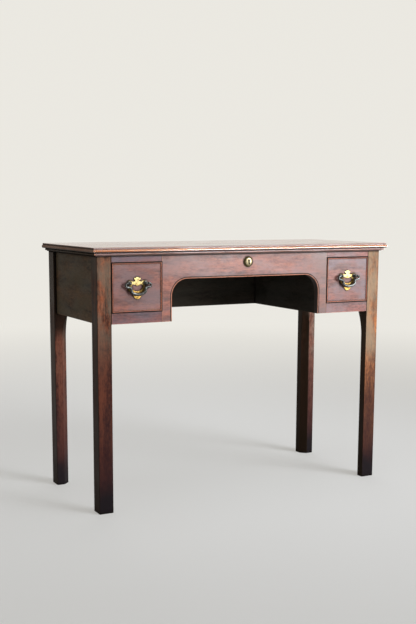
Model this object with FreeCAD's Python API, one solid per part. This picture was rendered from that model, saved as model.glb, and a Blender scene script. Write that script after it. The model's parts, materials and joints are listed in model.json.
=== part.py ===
import FreeCAD, Part
import math
import os

# Two-drawer lowboy with a kneehole and a rising top, in millimetres.
# X runs left to right, Y front to back and Z up. The origin is on the floor,
# under the middle of the top board.

V = FreeCAD.Vector

# Frame and legs
frame_width = 964.0            # across the outer faces of the legs
frame_depth = 396.0            # front faces to back faces of the legs
overall_height = 760.0
leg_size = 43.0
leg_arris = 1.4                # worn rounding of the long leg edges
foot_wear = 1.2                # bevel around the foot
leg_chamfer = 19.0             # on each face of the inner corner
chamfer_start = 4.0            # below the frieze, where the run-out begins
chamfer_runout = 78.0          # height over which the chamfer reaches full width

# Top board, hinged at the back
top_thickness = 15.0
top_overhang = 18.0            # past the leg faces, front and sides
back_overhang = 10.0
nose_height = 10.0             # half-round nose of the moulded edge
nose_step = 3.0                # how far the top fillet stands back from the nose
top_arris = 1.6

# Moulding planted on the frame under the top
moulding_height = 9.0
moulding_reach = 11.0
moulding_bead = 6.6            # height of the bead, above a small step
moulding_foot = 5.0            # reach of that step

# Frieze: centre board, rails and drawer openings
frieze_height = 191.0          # below the moulding
frieze_thickness = 22.0
opening_width = 156.4
top_rail_height = 18.5         # what shows below the moulding
bottom_rail_height = 31.0
stile_width = 31.0
centre_depth = 69.4            # frieze depth over the kneehole
arch_radius = 50.0
board_arris = 1.2              # worn front edge of the arch
tenon_length = 12.0
tenon_thickness = 8.0
tenon_shoulder = 5.0

# Sides, back and inner boards
panel_setback = 8.0            # side panels, behind the leg faces
panel_thickness = 18.0
back_thickness = 16.0
kneehole_board_thickness = 14.0
housing_depth = 5.0            # grooves that hold the inner boards
well_floor_thickness = 8.0
well_floor_rise = 18.0         # above the top of the arch, hides the glue blocks
dust_board_thickness = 8.0
dust_board_gap = 1.5           # above the drawer opening
runner_width = 12.0            # the part under the drawer side
runner_height = 24.0
guide_height = 26.0
guide_clearance = 0.4          # beside the drawer opening
glue_block_size = 14.0
glue_block_length = 45.0
glue_block_spacing = 170.0

# Drawers
drawer_gap = 1.6               # around the drawer front
drawer_lift = 0.3              # drawer sides above the runners
drawer_rear_room = 30.0        # between the drawer and the back panel, for the stops
drawer_front_thickness = 20.0
drawer_side_thickness = 9.0
drawer_back_thickness = 9.0
drawer_bottom_thickness = 6.0
drawer_bottom_rise = 10.0      # above the lower edge of the sides
drawer_groove = 4.0
side_drop = 4.0                # drawer sides below the top of the front
tail_count = 4
tail_pin = 7.0                 # narrow pins between the dovetails
tail_flare = 2.6
tail_cover = 1.5               # wood between the dovetails and the cockbead
bead_width = 3.2               # cockbead around the drawer front
bead_reach = 2.0               # proud of the drawer face
bead_depth = 8.0               # let into the drawer front
stop_width = 16.0
stop_height = 18.0
stop_gap = 0.3

# Swan-neck handles, centred on the drawer fronts
post_spacing = 50.0
post_rise = 12.0               # post centres above the middle of the drawer
pivot_reach = 10.5             # bail axis in front of the drawer face
plate_thickness = 2.0
plate_wing = 7.5               # plate past each post centre
plate_crown = 17.5             # plate above the post centres
plate_tail = 45.5              # plate below the post centres
rosette_radius = 6.2
rosette_thickness = 2.2
neck_radius = 3.0
head_radius = 4.6
bail_pin_radius = 2.0
bail_pin_clearance = 0.05
bail_pin_depth = 5.0           # pin inside the post head
bail_radius = 3.0
bail_shoulder_gap = 0.6        # between post head and bail shoulder
shoulder_run = 3.5             # straight out of the post before the neck curls back
shoulder_radius = 5.0
swan_fall = 12.0               # degrees below level on the way in
swan_radius = 5.0
bow_half_width = 22.0
bow_side_run = 2.5             # straight drop at each side of the bow
bow_side_radius = 9.0
bow_turn = 60.0                # degrees turned by the small side radius
shank_radius = 2.4
shank_clearance = 0.1
nut_size = 9.0
nut_thickness = 3.0
shank_end = 1.5                # past the nut

# Lock, escutcheon and link plate
escutcheon_radius = 15.5
escutcheon_flange = 1.8
escutcheon_boss_radius = 12.0
escutcheon_reach = 6.5
escutcheon_drop = 25.0         # centre below the moulding
keyhole_radius = 2.3
keyhole_slot = 3.4
keyhole_length = 15.5
escutcheon_pin_radius = 0.8
escutcheon_pin_length = 9.0
escutcheon_pin_offset = 13.4
lock_width = 60.0
lock_height = 46.0
lock_depth = 12.0
lock_wall = 1.6
selvedge_width = 74.0
selvedge_thickness = 2.0
lug_spacing = 30.0
lug_thickness = 2.6
lug_width = 7.0
lug_length = 13.0
lug_eye = 5.0
lug_clearance = 0.9
link_plate_width = 58.0
link_plate_thickness = 1.6
bolt_thickness = 3.0
bolt_clearance = 0.5
bolt_throw = 5.0
bolt_plate_height = 9.0

# Butt hinges of the top
hinge_spacing = 680.0
hinge_length = 50.0
hinge_leaf_width = 14.0
hinge_leaf_thickness = 2.0
hinge_leaf_gap = 0.1           # each leaf off the joint plane
knuckle_radius = 3.2
knuckle_clearance = 0.3
hinge_pin_radius = 1.5
hinge_pin_clearance = 0.05

# Countersunk screws
screw_radius = 1.3
screw_head_radius = 2.8
screw_head_height = 1.5
screw_length = 11.0
screw_inset = 7.0              # from the end of a leaf or plate

# Levels and planes that follow from these
top_underside = overall_height - top_thickness
moulding_underside = top_underside - moulding_height
frieze_bottom = moulding_underside - frieze_height
opening_top = moulding_underside - top_rail_height
opening_bottom = frieze_bottom + bottom_rail_height
arch_top = moulding_underside - centre_depth
well_floor_bottom = arch_top + well_floor_rise
well_floor_top = well_floor_bottom + well_floor_thickness
front_y = -(frame_depth + back_overhang - top_overhang) / 2
back_y = front_y + frame_depth
middle_y = (front_y + back_y) / 2
half_width = frame_width / 2
opening_outer = half_width - leg_size
opening_inner = opening_outer - opening_width
arch_half = opening_inner - stile_width
kneehole_outer = arch_half + kneehole_board_thickness
panel_outer = half_width - panel_setback
panel_inner = panel_outer - panel_thickness
frieze_back = front_y + frieze_thickness
back_front = back_y - back_thickness
frieze_middle_y = front_y + frieze_thickness / 2
drawer_centre_x = (opening_outer + opening_inner) / 2
drawer_centre_z = (opening_top + opening_bottom) / 2
post_z = drawer_centre_z + post_rise
pivot_y = front_y - pivot_reach
escutcheon_z = moulding_underside - escutcheon_drop
hinge_y = back_y + knuckle_radius + knuckle_clearance
bolt_nose = bolt_throw + bolt_thickness + bolt_clearance
tail_lap = drawer_front_thickness - bead_depth - tail_cover
hinge_z = top_underside


def box(x0, x1, y0, y1, z0, z1):
    return Part.makeBox(x1 - x0, y1 - y0, z1 - z0, V(x0, y0, z0))


def mirrored(shape):
    return shape.mirror(V(0, 0, 0), V(1, 0, 0))


def both_sides(shape):
    return [shape, mirrored(shape)]


def cut_all(shape, tools):
    for tool in tools:
        shape = shape.cut(tool)
    return shape


def fuse_all(shapes):
    whole = shapes[0]
    for shape in shapes[1:]:
        whole = whole.fuse(shape)
    return whole.removeSplitter()


def one_solid(shape):
    solids = shape.Solids
    if len(solids) != 1:
        raise ValueError("expected one solid, found %d" % len(solids))
    return solids[0]


def line(start, end):
    return Part.LineSegment(start, end).toShape()


def arc(start, middle, end):
    return Part.Arc(start, middle, end).toShape()


def prism(edges, direction):
    return Part.Face(Part.Wire(edges)).extrude(direction)


def cylinder(radius, start, end):
    axis = end.sub(start)
    return Part.makeCylinder(radius, axis.Length, start, axis)


def edges_where(shape, test):
    return [edge for edge in shape.Edges if test(edge)]


def screw(head, direction):
    # Head centre on the surface that the screw is sunk into
    axis = V(direction)
    axis.normalize()
    cone = Part.makeCone(screw_head_radius, screw_radius, screw_head_height, head, axis)
    shank = Part.makeCylinder(screw_radius, screw_length, head, axis)
    return one_solid(cone.fuse(shank).removeSplitter())


# Legs

def chamfer_tool():
    # Cuts the inner corner of the front left leg and dies out below the frieze
    depth = leg_chamfer / math.sqrt(2)
    full_z = frieze_bottom - chamfer_start - chamfer_runout
    end_z = frieze_bottom - chamfer_start
    radius = (chamfer_runout ** 2 + depth ** 2) / (2 * depth)
    half_turn = math.asin(chamfer_runout / radius) / 2
    centre_s = depth - radius
    middle = V(centre_s + radius * math.cos(half_turn), 0, full_z + radius * math.sin(half_turn))
    below = V(depth, 0, -leg_size)
    full = V(depth, 0, full_z)
    end = V(0, 0, end_z)
    outer_end = V(-leg_size, 0, end_z)
    outer_below = V(-leg_size, 0, -leg_size)
    edges = [line(below, full), arc(full, middle, end), line(end, outer_end),
             line(outer_end, outer_below), line(outer_below, below)]
    tool = prism(edges, V(0, 2 * leg_size, 0))
    tool.translate(V(0, -leg_size, 0))
    tool.rotate(V(0, 0, 0), V(0, 0, 1), 225)
    tool.translate(V(-opening_outer, front_y + leg_size, 0))
    return tool


def plain_leg():
    leg = box(-half_width, -opening_outer, front_y, front_y + leg_size, 0, top_underside)
    inner = (-opening_outer, front_y + leg_size)

    def is_arris(edge):
        ends = [vertex.Point for vertex in edge.Vertexes]
        upright = abs(ends[0].z - ends[1].z) > leg_size
        at_inner = math.hypot(ends[0].x - inner[0], ends[0].y - inner[1]) < 0.01
        return upright and not at_inner

    leg = leg.makeFillet(leg_arris, edges_where(leg, is_arris))
    foot_edges = edges_where(leg, lambda edge: edge.BoundBox.ZMax < 0.01)
    leg = leg.makeChamfer(foot_wear, foot_edges)
    return one_solid(leg.cut(chamfer_tool()))


front_left = plain_leg()
rear_left = front_left.mirror(V(0, middle_y, 0), V(0, 1, 0))

# Side panels, tenoned between the legs

panel_body = box(-panel_outer, -panel_inner, front_y + leg_size, back_y - leg_size,
                 frieze_bottom, top_underside)
panel_tenon_x = -(panel_outer + panel_inner) / 2
panel_tenons = []
for leg_face, sign in ((front_y + leg_size, -1), (back_y - leg_size, 1)):
    reach = leg_face + sign * tenon_length
    panel_tenons.append(box(panel_tenon_x - tenon_thickness / 2, panel_tenon_x + tenon_thickness / 2,
                            min(leg_face, reach), max(leg_face, reach),
                            frieze_bottom + tenon_shoulder, top_underside - tenon_shoulder))
left_side_panel = one_solid(fuse_all([panel_body] + panel_tenons))

# Rails above and below each drawer, tenoned into leg and stile


def rail(bottom, top):
    body = box(-opening_outer, -opening_inner, front_y, frieze_back, bottom, top)
    tenons = []
    for face, sign in ((-opening_outer, -1), (-opening_inner, 1)):
        reach = face + sign * tenon_length
        tenons.append(box(min(face, reach), max(face, reach),
                          frieze_middle_y - tenon_thickness / 2,
                          frieze_middle_y + tenon_thickness / 2,
                          bottom + tenon_shoulder, top - tenon_shoulder))
    return one_solid(fuse_all([body] + tenons)), tenons


left_top_rail, top_rail_tenons = rail(opening_top, top_underside)
left_bottom_rail, bottom_rail_tenons = rail(frieze_bottom, opening_bottom)
rail_tenons = top_rail_tenons + bottom_rail_tenons

# Back panel, tenoned into the rear legs

back_body = box(-opening_outer, opening_outer, back_front, back_y, frieze_bottom, top_underside)
back_tenon_y = (back_front + back_y) / 2
left_back_tenon = box(-opening_outer - tenon_length, -opening_outer,
                      back_tenon_y - tenon_thickness / 2, back_tenon_y + tenon_thickness / 2,
                      frieze_bottom + tenon_shoulder, top_underside - tenon_shoulder)
back_panel = one_solid(fuse_all([back_body] + both_sides(left_back_tenon)))

front_left = one_solid(cut_all(front_left, [panel_tenons[0]] + rail_tenons))
rear_left = one_solid(cut_all(rear_left, [panel_tenons[1], left_back_tenon]))

# Boards beside the kneehole, housed in the frieze board and the back panel

left_kneehole_board = box(-kneehole_outer, -arch_half, frieze_back - housing_depth,
                          back_front + housing_depth, frieze_bottom, top_underside)
kneehole_boards = both_sides(left_kneehole_board)

# Floor of the well under the top, housed in the kneehole boards

well_floor = box(-arch_half - housing_depth, arch_half + housing_depth, frieze_back, back_front,
                 well_floor_bottom, well_floor_top)
kneehole_boards = [one_solid(board.cut(well_floor)) for board in kneehole_boards]

# Centre board of the frieze, with its arch


def frieze_outline():
    def point(x, z):
        return V(x, front_y, z)

    corner = arch_radius * (1 - math.sqrt(0.5))
    straight = arch_half - arch_radius
    spring = arch_top - arch_radius
    return [
        line(point(-arch_half, frieze_bottom), point(-opening_inner, frieze_bottom)),
        line(point(-opening_inner, frieze_bottom), point(-opening_inner, top_underside)),
        line(point(-opening_inner, top_underside), point(opening_inner, top_underside)),
        line(point(opening_inner, top_underside), point(opening_inner, frieze_bottom)),
        line(point(opening_inner, frieze_bottom), point(arch_half, frieze_bottom)),
        line(point(arch_half, frieze_bottom), point(arch_half, spring)),
        arc(point(arch_half, spring), point(arch_half - corner, arch_top - corner),
            point(straight, arch_top)),
        line(point(straight, arch_top), point(-straight, arch_top)),
        arc(point(-straight, arch_top), point(corner - arch_half, arch_top - corner),
            point(-arch_half, spring)),
        line(point(-arch_half, spring), point(-arch_half, frieze_bottom)),
    ]


def keyhole_tool(start_y, end_y):
    # Round head over a narrow slot
    head_z = escutcheon_z + keyhole_length / 2 - keyhole_radius
    head = cylinder(keyhole_radius, V(0, start_y, head_z), V(0, end_y, head_z))
    slot = box(-keyhole_slot / 2, keyhole_slot / 2, start_y, end_y,
               escutcheon_z - keyhole_length / 2, head_z)
    return head.fuse(slot)


lock_bottom = top_underside - lock_height
lock_front = frieze_back - lock_depth
frieze_solid = prism(frieze_outline(), V(0, frieze_thickness, 0))


def is_arch_edge(edge):
    bounds = edge.BoundBox
    in_front = bounds.YMax < front_y + 0.01
    in_arch = max(abs(bounds.XMin), abs(bounds.XMax)) < arch_half + 0.01
    return in_front and in_arch and bounds.ZMax < arch_top + 0.01


frieze_solid = frieze_solid.makeFillet(board_arris, edges_where(frieze_solid, is_arch_edge))
lock_recess = box(-lock_width / 2, lock_width / 2, lock_front, frieze_back, lock_bottom, top_underside)
selvedge_body = box(-selvedge_width / 2, selvedge_width / 2, lock_front, frieze_back,
                    top_underside - selvedge_thickness, top_underside)

# Lock case with its selvedge, bolt and link plate

lug_y = (lock_front + frieze_back) / 2
lug_centres = (-lug_spacing / 2, lug_spacing / 2)
cavity = box(-lock_width / 2 + lock_wall, lock_width / 2 - lock_wall,
             lock_front + lock_wall, frieze_back - lock_wall,
             lock_bottom + lock_wall, top_underside - selvedge_thickness)
lug_slots = [box(x - lug_thickness / 2 - lug_clearance, x + lug_thickness / 2 + lug_clearance,
                 lug_y - lug_width / 2 - lug_clearance, lug_y + lug_width / 2 + lug_clearance,
                 top_underside - selvedge_thickness, top_underside) for x in lug_centres]
lock_keyhole = keyhole_tool(lock_front, lock_front + lock_wall)
lock_case = one_solid(cut_all(lock_recess.fuse(selvedge_body).removeSplitter(),
                              [cavity, lock_keyhole] + lug_slots))

lug_top = top_underside
lug_bottom = lug_top - lug_length
eye_z = lug_bottom + lug_eye / 2 + lug_thickness
link_plate_body = box(-link_plate_width / 2, link_plate_width / 2, lock_front, frieze_back,
                      top_underside, top_underside + link_plate_thickness)
lugs = []
for lug_x in lug_centres:
    lug = box(lug_x - lug_thickness / 2, lug_x + lug_thickness / 2,
              lug_y - lug_width / 2, lug_y + lug_width / 2, lug_bottom, lug_top)
    eye = box(lug_x - lug_thickness, lug_x + lug_thickness,
              lug_y - bolt_thickness / 2 - bolt_clearance, lug_y + bolt_thickness / 2 + bolt_clearance,
              eye_z - lug_eye / 2, eye_z + lug_eye / 2)
    lugs.append(lug.cut(eye))
link_plate = fuse_all([link_plate_body] + lugs)

# The bolt's two noses stand just clear of the lugs and slide into their eyes
nose_half = lug_eye / 2 - bolt_clearance
plate_top = lug_bottom - bolt_clearance
bolt_y0 = lug_y - bolt_thickness / 2
bolt_y1 = lug_y + bolt_thickness / 2
nose_tips = [x - lug_thickness / 2 - bolt_clearance for x in lug_centres]
bolt_parts = [box(nose_tips[0] - bolt_nose, nose_tips[1], bolt_y0, bolt_y1,
                  plate_top - bolt_plate_height, plate_top)]
for tip in nose_tips:
    bolt_parts.append(box(tip - bolt_nose, tip, bolt_y0, bolt_y1, eye_z - nose_half, eye_z + nose_half))
    bolt_parts.append(box(tip - bolt_nose, tip - bolt_nose + bolt_thickness, bolt_y0, bolt_y1,
                          plate_top, eye_z + nose_half))
lock_bolt = one_solid(fuse_all(bolt_parts))

lock_screws = []
for sign_x in (-1, 1):
    screw_x = sign_x * (selvedge_width / 2 - screw_head_radius - lock_wall)
    lock_screws.append(screw(V(screw_x, lug_y, top_underside), V(0, 0, -1)))
lock_case = one_solid(cut_all(lock_case, lock_screws))

link_screws = []
for sign_x in (-1, 1):
    screw_x = sign_x * (link_plate_width / 2 - screw_head_radius - lock_wall)
    link_screws.append(screw(V(screw_x, lug_y, top_underside), V(0, 0, 1)))
link_plate = one_solid(cut_all(link_plate, link_screws))

# Escutcheon, turned and pinned to the frieze


def turned(profile, centre, axis):
    # The profile holds (radius, distance along the axis) corners, straight between them
    points = [V(radius, 0, along) for radius, along in profile]
    edges = [line(a, b) for a, b in zip(points, points[1:] + points[:1])]
    solid = Part.Face(Part.Wire(edges)).revolve(V(0, 0, 0), V(0, 0, 1), 360)
    turn = FreeCAD.Rotation(V(0, 0, 1), axis)
    solid.Placement = FreeCAD.Placement(centre, turn)
    return solid


escutcheon_crown = escutcheon_reach - escutcheon_flange
escutcheon = turned([(0, 0), (escutcheon_radius, 0), (escutcheon_radius, escutcheon_flange * 0.6),
                     (escutcheon_radius - escutcheon_flange * 0.4, escutcheon_flange),
                     (escutcheon_boss_radius, escutcheon_flange),
                     (escutcheon_boss_radius, escutcheon_flange + escutcheon_crown * 0.55),
                     (escutcheon_boss_radius - escutcheon_crown * 0.4, escutcheon_reach),
                     (0, escutcheon_reach)],
                    V(0, front_y, escutcheon_z), V(0, -1, 0))
escutcheon = escutcheon.cut(keyhole_tool(front_y - escutcheon_reach - 1, front_y + 1))
escutcheon_pins = []
for sign_x in (-1, 1):
    pin_x = sign_x * escutcheon_pin_offset
    escutcheon_pins.append(cylinder(escutcheon_pin_radius, V(pin_x, front_y - escutcheon_flange, escutcheon_z),
                                    V(pin_x, front_y - escutcheon_flange + escutcheon_pin_length, escutcheon_z)))
escutcheon = one_solid(cut_all(escutcheon, escutcheon_pins))

frieze_cuts = rail_tenons + [mirrored(tenon) for tenon in rail_tenons]
frieze_cuts += both_sides(left_kneehole_board) + [lock_recess, selvedge_body]
frieze_cuts += lock_screws + escutcheon_pins + [keyhole_tool(front_y, lock_front)]
frieze_board = one_solid(cut_all(frieze_solid, frieze_cuts))
back_panel = cut_all(back_panel, both_sides(left_kneehole_board))

# Dust boards above the drawers, notched around the legs

dust_bottom = opening_top + dust_board_gap
left_dust_board = box(-panel_inner, -kneehole_outer, frieze_back, back_front,
                      dust_bottom, dust_bottom + dust_board_thickness)
leg_posts = [box(-half_width, -opening_outer, front_y, front_y + leg_size, 0, top_underside),
             box(-half_width, -opening_outer, back_y - leg_size, back_y, 0, top_underside)]
left_dust_board = one_solid(cut_all(left_dust_board, leg_posts))

# Rebated runners: a bearing strip below the drawer side and a guide beside it


def runner(wall_x, edge_x, strip_x, guide_x):
    strip = box(min(wall_x, strip_x), max(wall_x, strip_x), frieze_back, back_front,
                opening_bottom - runner_height, opening_bottom)
    guide = box(min(wall_x, guide_x), max(wall_x, guide_x), frieze_back, back_front,
                opening_bottom, opening_bottom + guide_height)
    return one_solid(cut_all(fuse_all([strip, guide]), leg_posts))


left_outer_runner = runner(-panel_inner, -opening_outer, runner_width - opening_outer,
                           -opening_outer - guide_clearance)
left_inner_runner = runner(-kneehole_outer, -opening_inner, -opening_inner - runner_width,
                           -opening_inner + guide_clearance)

# Glue blocks under the well floor

glue_blocks = []
for step in (-1, 0, 1):
    block_x = step * glue_block_spacing
    for y0 in (frieze_back, back_front - glue_block_size):
        glue_blocks.append(box(block_x - glue_block_length / 2, block_x + glue_block_length / 2,
                               y0, y0 + glue_block_size,
                               well_floor_bottom - glue_block_size, well_floor_bottom))

# Moulding under the top: a bead over a small step, mitred at the front corners


def moulding_profile(point, back):
    # The point function places (reach, height) in the plane of the section
    bead_radius = moulding_bead / 2
    bead_z = top_underside - bead_radius
    step_z = top_underside - moulding_bead
    return [
        line(point(back, top_underside), point(moulding_reach - bead_radius, top_underside)),
        arc(point(moulding_reach - bead_radius, top_underside), point(moulding_reach, bead_z),
            point(moulding_reach - bead_radius, step_z)),
        line(point(moulding_reach - bead_radius, step_z), point(moulding_foot, step_z)),
        line(point(moulding_foot, step_z), point(moulding_foot, moulding_underside)),
        line(point(moulding_foot, moulding_underside), point(back, moulding_underside)),
        line(point(back, moulding_underside), point(back, top_underside)),
    ]


def mitre_wedge(toward_side):
    # Triangle on one side of the diagonal through the front left corner
    corner = V(-half_width, front_y, 0)
    far = 2 * (moulding_reach + panel_setback)
    inner = corner.add(V(far, far, 0))
    outer = corner.add(V(-far, -far, 0))
    third = corner.add(V(-far, far, 0)) if toward_side else corner.add(V(far, -far, 0))
    edges = [line(inner, outer), line(outer, third), line(third, inner)]
    return prism(edges, V(0, 0, overall_height))


moulding_end = half_width + moulding_reach
front_strip = prism(moulding_profile(lambda reach, z: V(-moulding_end, front_y - reach, z), 0),
                    V(2 * moulding_end, 0, 0))
side_strip = prism(moulding_profile(lambda reach, z: V(-half_width - reach, front_y - moulding_reach, z),
                                    -panel_setback), V(0, frame_depth + moulding_reach, 0))
front_moulding = one_solid(cut_all(front_strip, both_sides(mitre_wedge(True))))
left_moulding = one_solid(cut_all(side_strip, [mitre_wedge(False)] + leg_posts))

# Top board with a moulded edge on three sides


def top_profile(point, half_span, far_edge):
    # Section from one moulded edge to the far edge; far_edge None means moulded too
    nose_radius = nose_height / 2
    nose_z = top_underside + nose_radius
    step_z = top_underside + nose_height
    step = half_span - nose_step
    low = V(0, 0, top_underside)

    def edge_pieces(sign):
        tip = sign * (half_span - nose_radius)
        corner = top_arris * (1 - math.sqrt(0.5))
        return [
            arc(point(tip, low.z), point(sign * half_span, nose_z), point(tip, step_z)),
            line(point(tip, step_z), point(sign * step, step_z)) if abs(tip) != step else None,
            line(point(sign * step, step_z), point(sign * step, overall_height - top_arris)),
            arc(point(sign * step, overall_height - top_arris),
                point(sign * (step - corner), overall_height - corner),
                point(sign * (step - top_arris), overall_height)),
        ], tip, sign * (step - top_arris)

    moulded, tip, crown = edge_pieces(-1)
    if far_edge is None:
        other, far_tip, far_crown = edge_pieces(1)
    else:
        other = [line(point(far_edge, low.z), point(far_edge, overall_height))]
        far_tip = far_edge
        far_crown = far_edge
    edges = moulded + other
    edges.append(line(point(tip, low.z), point(far_tip, low.z)))
    edges.append(line(point(crown, overall_height), point(far_crown, overall_height)))
    edges = [edge for edge in edges if edge is not None]
    return Part.__sortEdges__(edges)


top_half = half_width + top_overhang
top_front = front_y - top_overhang
top_back = back_y + back_overhang
front_section = prism(top_profile(lambda y, z: V(-top_half, y, z), -top_front, top_back),
                      V(2 * top_half, 0, 0))
side_section = prism(top_profile(lambda x, z: V(x, top_front, z), top_half, None),
                     V(0, top_back - top_front, 0))
top_board = one_solid(front_section.common(side_section))

# Butt hinges let into the back panel and the top board

hinge_centres = (-hinge_spacing / 2, hinge_spacing / 2)
knuckle_length = hinge_length / 3
leaf_front = back_y - hinge_leaf_width


def hinge_knuckle(x0, x1, leaf_z0, leaf_z1):
    tube = cylinder(knuckle_radius, V(x0, hinge_y, hinge_z), V(x1, hinge_y, hinge_z))
    web = box(x0, x1, leaf_front, hinge_y, leaf_z0, leaf_z1)
    return tube.fuse(web)


def hinge_leaf(centre_x, upper):
    x0 = centre_x - hinge_length / 2
    x1 = centre_x + hinge_length / 2
    if upper:
        z0 = hinge_z + hinge_leaf_gap
        z1 = hinge_z + hinge_leaf_thickness
        spans = [(x0 + knuckle_length + knuckle_clearance, x1 - knuckle_length - knuckle_clearance)]
    else:
        z0 = hinge_z - hinge_leaf_thickness
        z1 = hinge_z - hinge_leaf_gap
        spans = [(x0, x0 + knuckle_length), (x1 - knuckle_length, x1)]
    leaf = box(x0, x1, leaf_front, back_y, z0, z1)
    parts = [leaf] + [hinge_knuckle(a, b, z0, z1) for a, b in spans]
    bore = cylinder(hinge_pin_radius + hinge_pin_clearance, V(x0, hinge_y, hinge_z), V(x1, hinge_y, hinge_z))
    return fuse_all(parts).cut(bore)


def leaf_screws(centre_x, upper):
    z = hinge_z + hinge_leaf_gap if upper else hinge_z - hinge_leaf_gap
    direction = V(0, 0, 1) if upper else V(0, 0, -1)
    y = (leaf_front + back_y) / 2
    offset = hinge_length / 2 - screw_inset
    return [screw(V(centre_x + x, y, z), direction) for x in (-offset, 0, offset)]


lower_leaves = []
upper_leaves = []
lower_screws = []
upper_screws = []
hinge_pins = []
lower_housings = []
upper_housings = []
for centre_x in hinge_centres:
    x0 = centre_x - hinge_length / 2
    x1 = centre_x + hinge_length / 2
    low_screws = leaf_screws(centre_x, False)
    high_screws = leaf_screws(centre_x, True)
    lower_leaves.append(one_solid(cut_all(hinge_leaf(centre_x, False), low_screws)))
    upper_leaves.append(one_solid(cut_all(hinge_leaf(centre_x, True), high_screws)))
    lower_screws += low_screws
    upper_screws += high_screws
    hinge_pins.append(cylinder(hinge_pin_radius, V(x0, hinge_y, hinge_z), V(x1, hinge_y, hinge_z)))
    lower_housings.append(box(x0, x1, leaf_front, back_y, hinge_z - hinge_leaf_thickness, hinge_z))
    upper_housings.append(box(x0, x1, leaf_front, back_y, hinge_z, hinge_z + hinge_leaf_thickness))
    knuckle_room = knuckle_radius + knuckle_clearance
    upper_housings.append(box(x0 - knuckle_clearance, x1 + knuckle_clearance, back_y, top_back,
                              hinge_z, hinge_z + knuckle_room))

back_panel = one_solid(cut_all(back_panel, lower_housings + lower_screws))
top_board = one_solid(cut_all(top_board, upper_housings + upper_screws + link_screws + [link_plate_body]))

# Left drawer; the right one is its mirror image

drawer_x0 = -opening_outer + drawer_gap
drawer_x1 = -opening_inner - drawer_gap
drawer_z0 = opening_bottom + drawer_gap
drawer_z1 = opening_top - drawer_gap
side_z0 = opening_bottom + drawer_lift
side_z1 = drawer_z1 - side_drop
front_inside = front_y + drawer_front_thickness
drawer_back_y = back_front - drawer_rear_room
bottom_z0 = side_z0 + drawer_bottom_rise
bottom_z1 = bottom_z0 + drawer_bottom_thickness


def dovetails(x0, x1, root_y, tip_y, z0, z1):
    pitch = (z1 - z0) / tail_count
    tip_half = (pitch - tail_pin) / 2
    root_half = tip_half - tail_flare
    tails = []
    for index in range(tail_count):
        middle_z = z0 + (index + 0.5) * pitch
        corners = [V(x0, root_y, middle_z - root_half), V(x0, tip_y, middle_z - tip_half),
                   V(x0, tip_y, middle_z + tip_half), V(x0, root_y, middle_z + root_half)]
        edges = [line(a, b) for a, b in zip(corners, corners[1:] + corners[:1])]
        tails.append(prism(edges, V(x1 - x0, 0, 0)))
    return tails


bottom_board = box(drawer_x0 + drawer_side_thickness - drawer_groove,
                   drawer_x1 - drawer_side_thickness + drawer_groove,
                   front_inside - drawer_groove, drawer_back_y, bottom_z0, bottom_z1)
back_root = drawer_back_y - drawer_back_thickness
tail_z0 = bottom_z1
drawer_sides = []
front_tails = []
back_tails = []
for x0, x1 in ((drawer_x0, drawer_x0 + drawer_side_thickness),
               (drawer_x1 - drawer_side_thickness, drawer_x1)):
    lap_tails = dovetails(x0, x1, front_inside, front_inside - tail_lap, tail_z0, side_z1)
    through_tails = dovetails(x0, x1, back_root, drawer_back_y, tail_z0, side_z1)
    body = box(x0, x1, front_inside, back_root, side_z0, side_z1)
    heel = box(x0, x1, back_root, drawer_back_y, side_z0, bottom_z1)
    side = fuse_all([body, heel] + lap_tails + through_tails)
    drawer_sides.append(one_solid(side.cut(bottom_board)))
    front_tails += lap_tails
    back_tails += through_tails
outer_drawer_side, inner_drawer_side = drawer_sides

drawer_back = box(drawer_x0, drawer_x1, back_root, drawer_back_y, tail_z0, side_z1)
drawer_back = one_solid(cut_all(drawer_back, back_tails))

drawer_front_board = box(drawer_x0, drawer_x1, front_y, front_inside, drawer_z0, drawer_z1)
field = box(drawer_x0 + bead_width, drawer_x1 - bead_width, front_y, front_y + bead_depth,
            drawer_z0 + bead_width, drawer_z1 - bead_width)
rebate = box(drawer_x0, drawer_x1, front_y, front_y + bead_depth, drawer_z0, drawer_z1).cut(field)


def bead_strip(start, end, inward):
    # One cockbead strip with a round nose, cut to a mitre at both ends
    half = bead_width / 2
    along = end.sub(start)
    nose_y = front_y - bead_reach + half

    def point(across, y):
        return V(start.x + inward.x * across, y, start.z + inward.z * across)

    section = [line(point(0, front_y + bead_depth), point(0, nose_y)),
               arc(point(0, nose_y), point(half, front_y - bead_reach), point(bead_width, nose_y)),
               line(point(bead_width, nose_y), point(bead_width, front_y + bead_depth)),
               line(point(bead_width, front_y + bead_depth), point(0, front_y + bead_depth))]
    strip = prism(section, along)
    for corner, sign in ((start, 1), (end, -1)):
        step = V(along)
        step.normalize()
        reach = bead_width * 2
        far = corner.add(step * (sign * reach)).add(inward * reach)
        past = corner.add(step * (-sign * reach)).add(inward * reach)
        near = corner.add(step * (-sign * reach)).sub(inward * reach)
        waste = [line(near, far), line(far, past), line(past, near)]
        tool = prism(waste, V(0, 4 * bead_depth, 0))
        tool.translate(V(0, -2 * bead_depth, 0))
        strip = strip.cut(tool)
    return one_solid(strip)


bead_corners = [V(drawer_x0, front_y, drawer_z0), V(drawer_x1, front_y, drawer_z0),
                V(drawer_x1, front_y, drawer_z1), V(drawer_x0, front_y, drawer_z1)]
bead_inward = [V(0, 0, 1), V(-1, 0, 0), V(0, 0, -1), V(1, 0, 0)]
cockbead = [bead_strip(bead_corners[i], bead_corners[(i + 1) % 4], bead_inward[i]) for i in range(4)]

# Handle: shaped backplate, two cast posts with nuts, and a swan-neck bail

handle_x = -drawer_centre_x
post_centres = (handle_x - post_spacing / 2, handle_x + post_spacing / 2)
plate_half = post_spacing / 2 + plate_wing


def plate_point(across, rise, side):
    # Across in halves of the plate's width, rise in crowns above the posts or tails below
    height = plate_crown if rise > 0 else plate_tail
    return V(handle_x + side * across * plate_half, front_y, post_z + rise * height)


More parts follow.
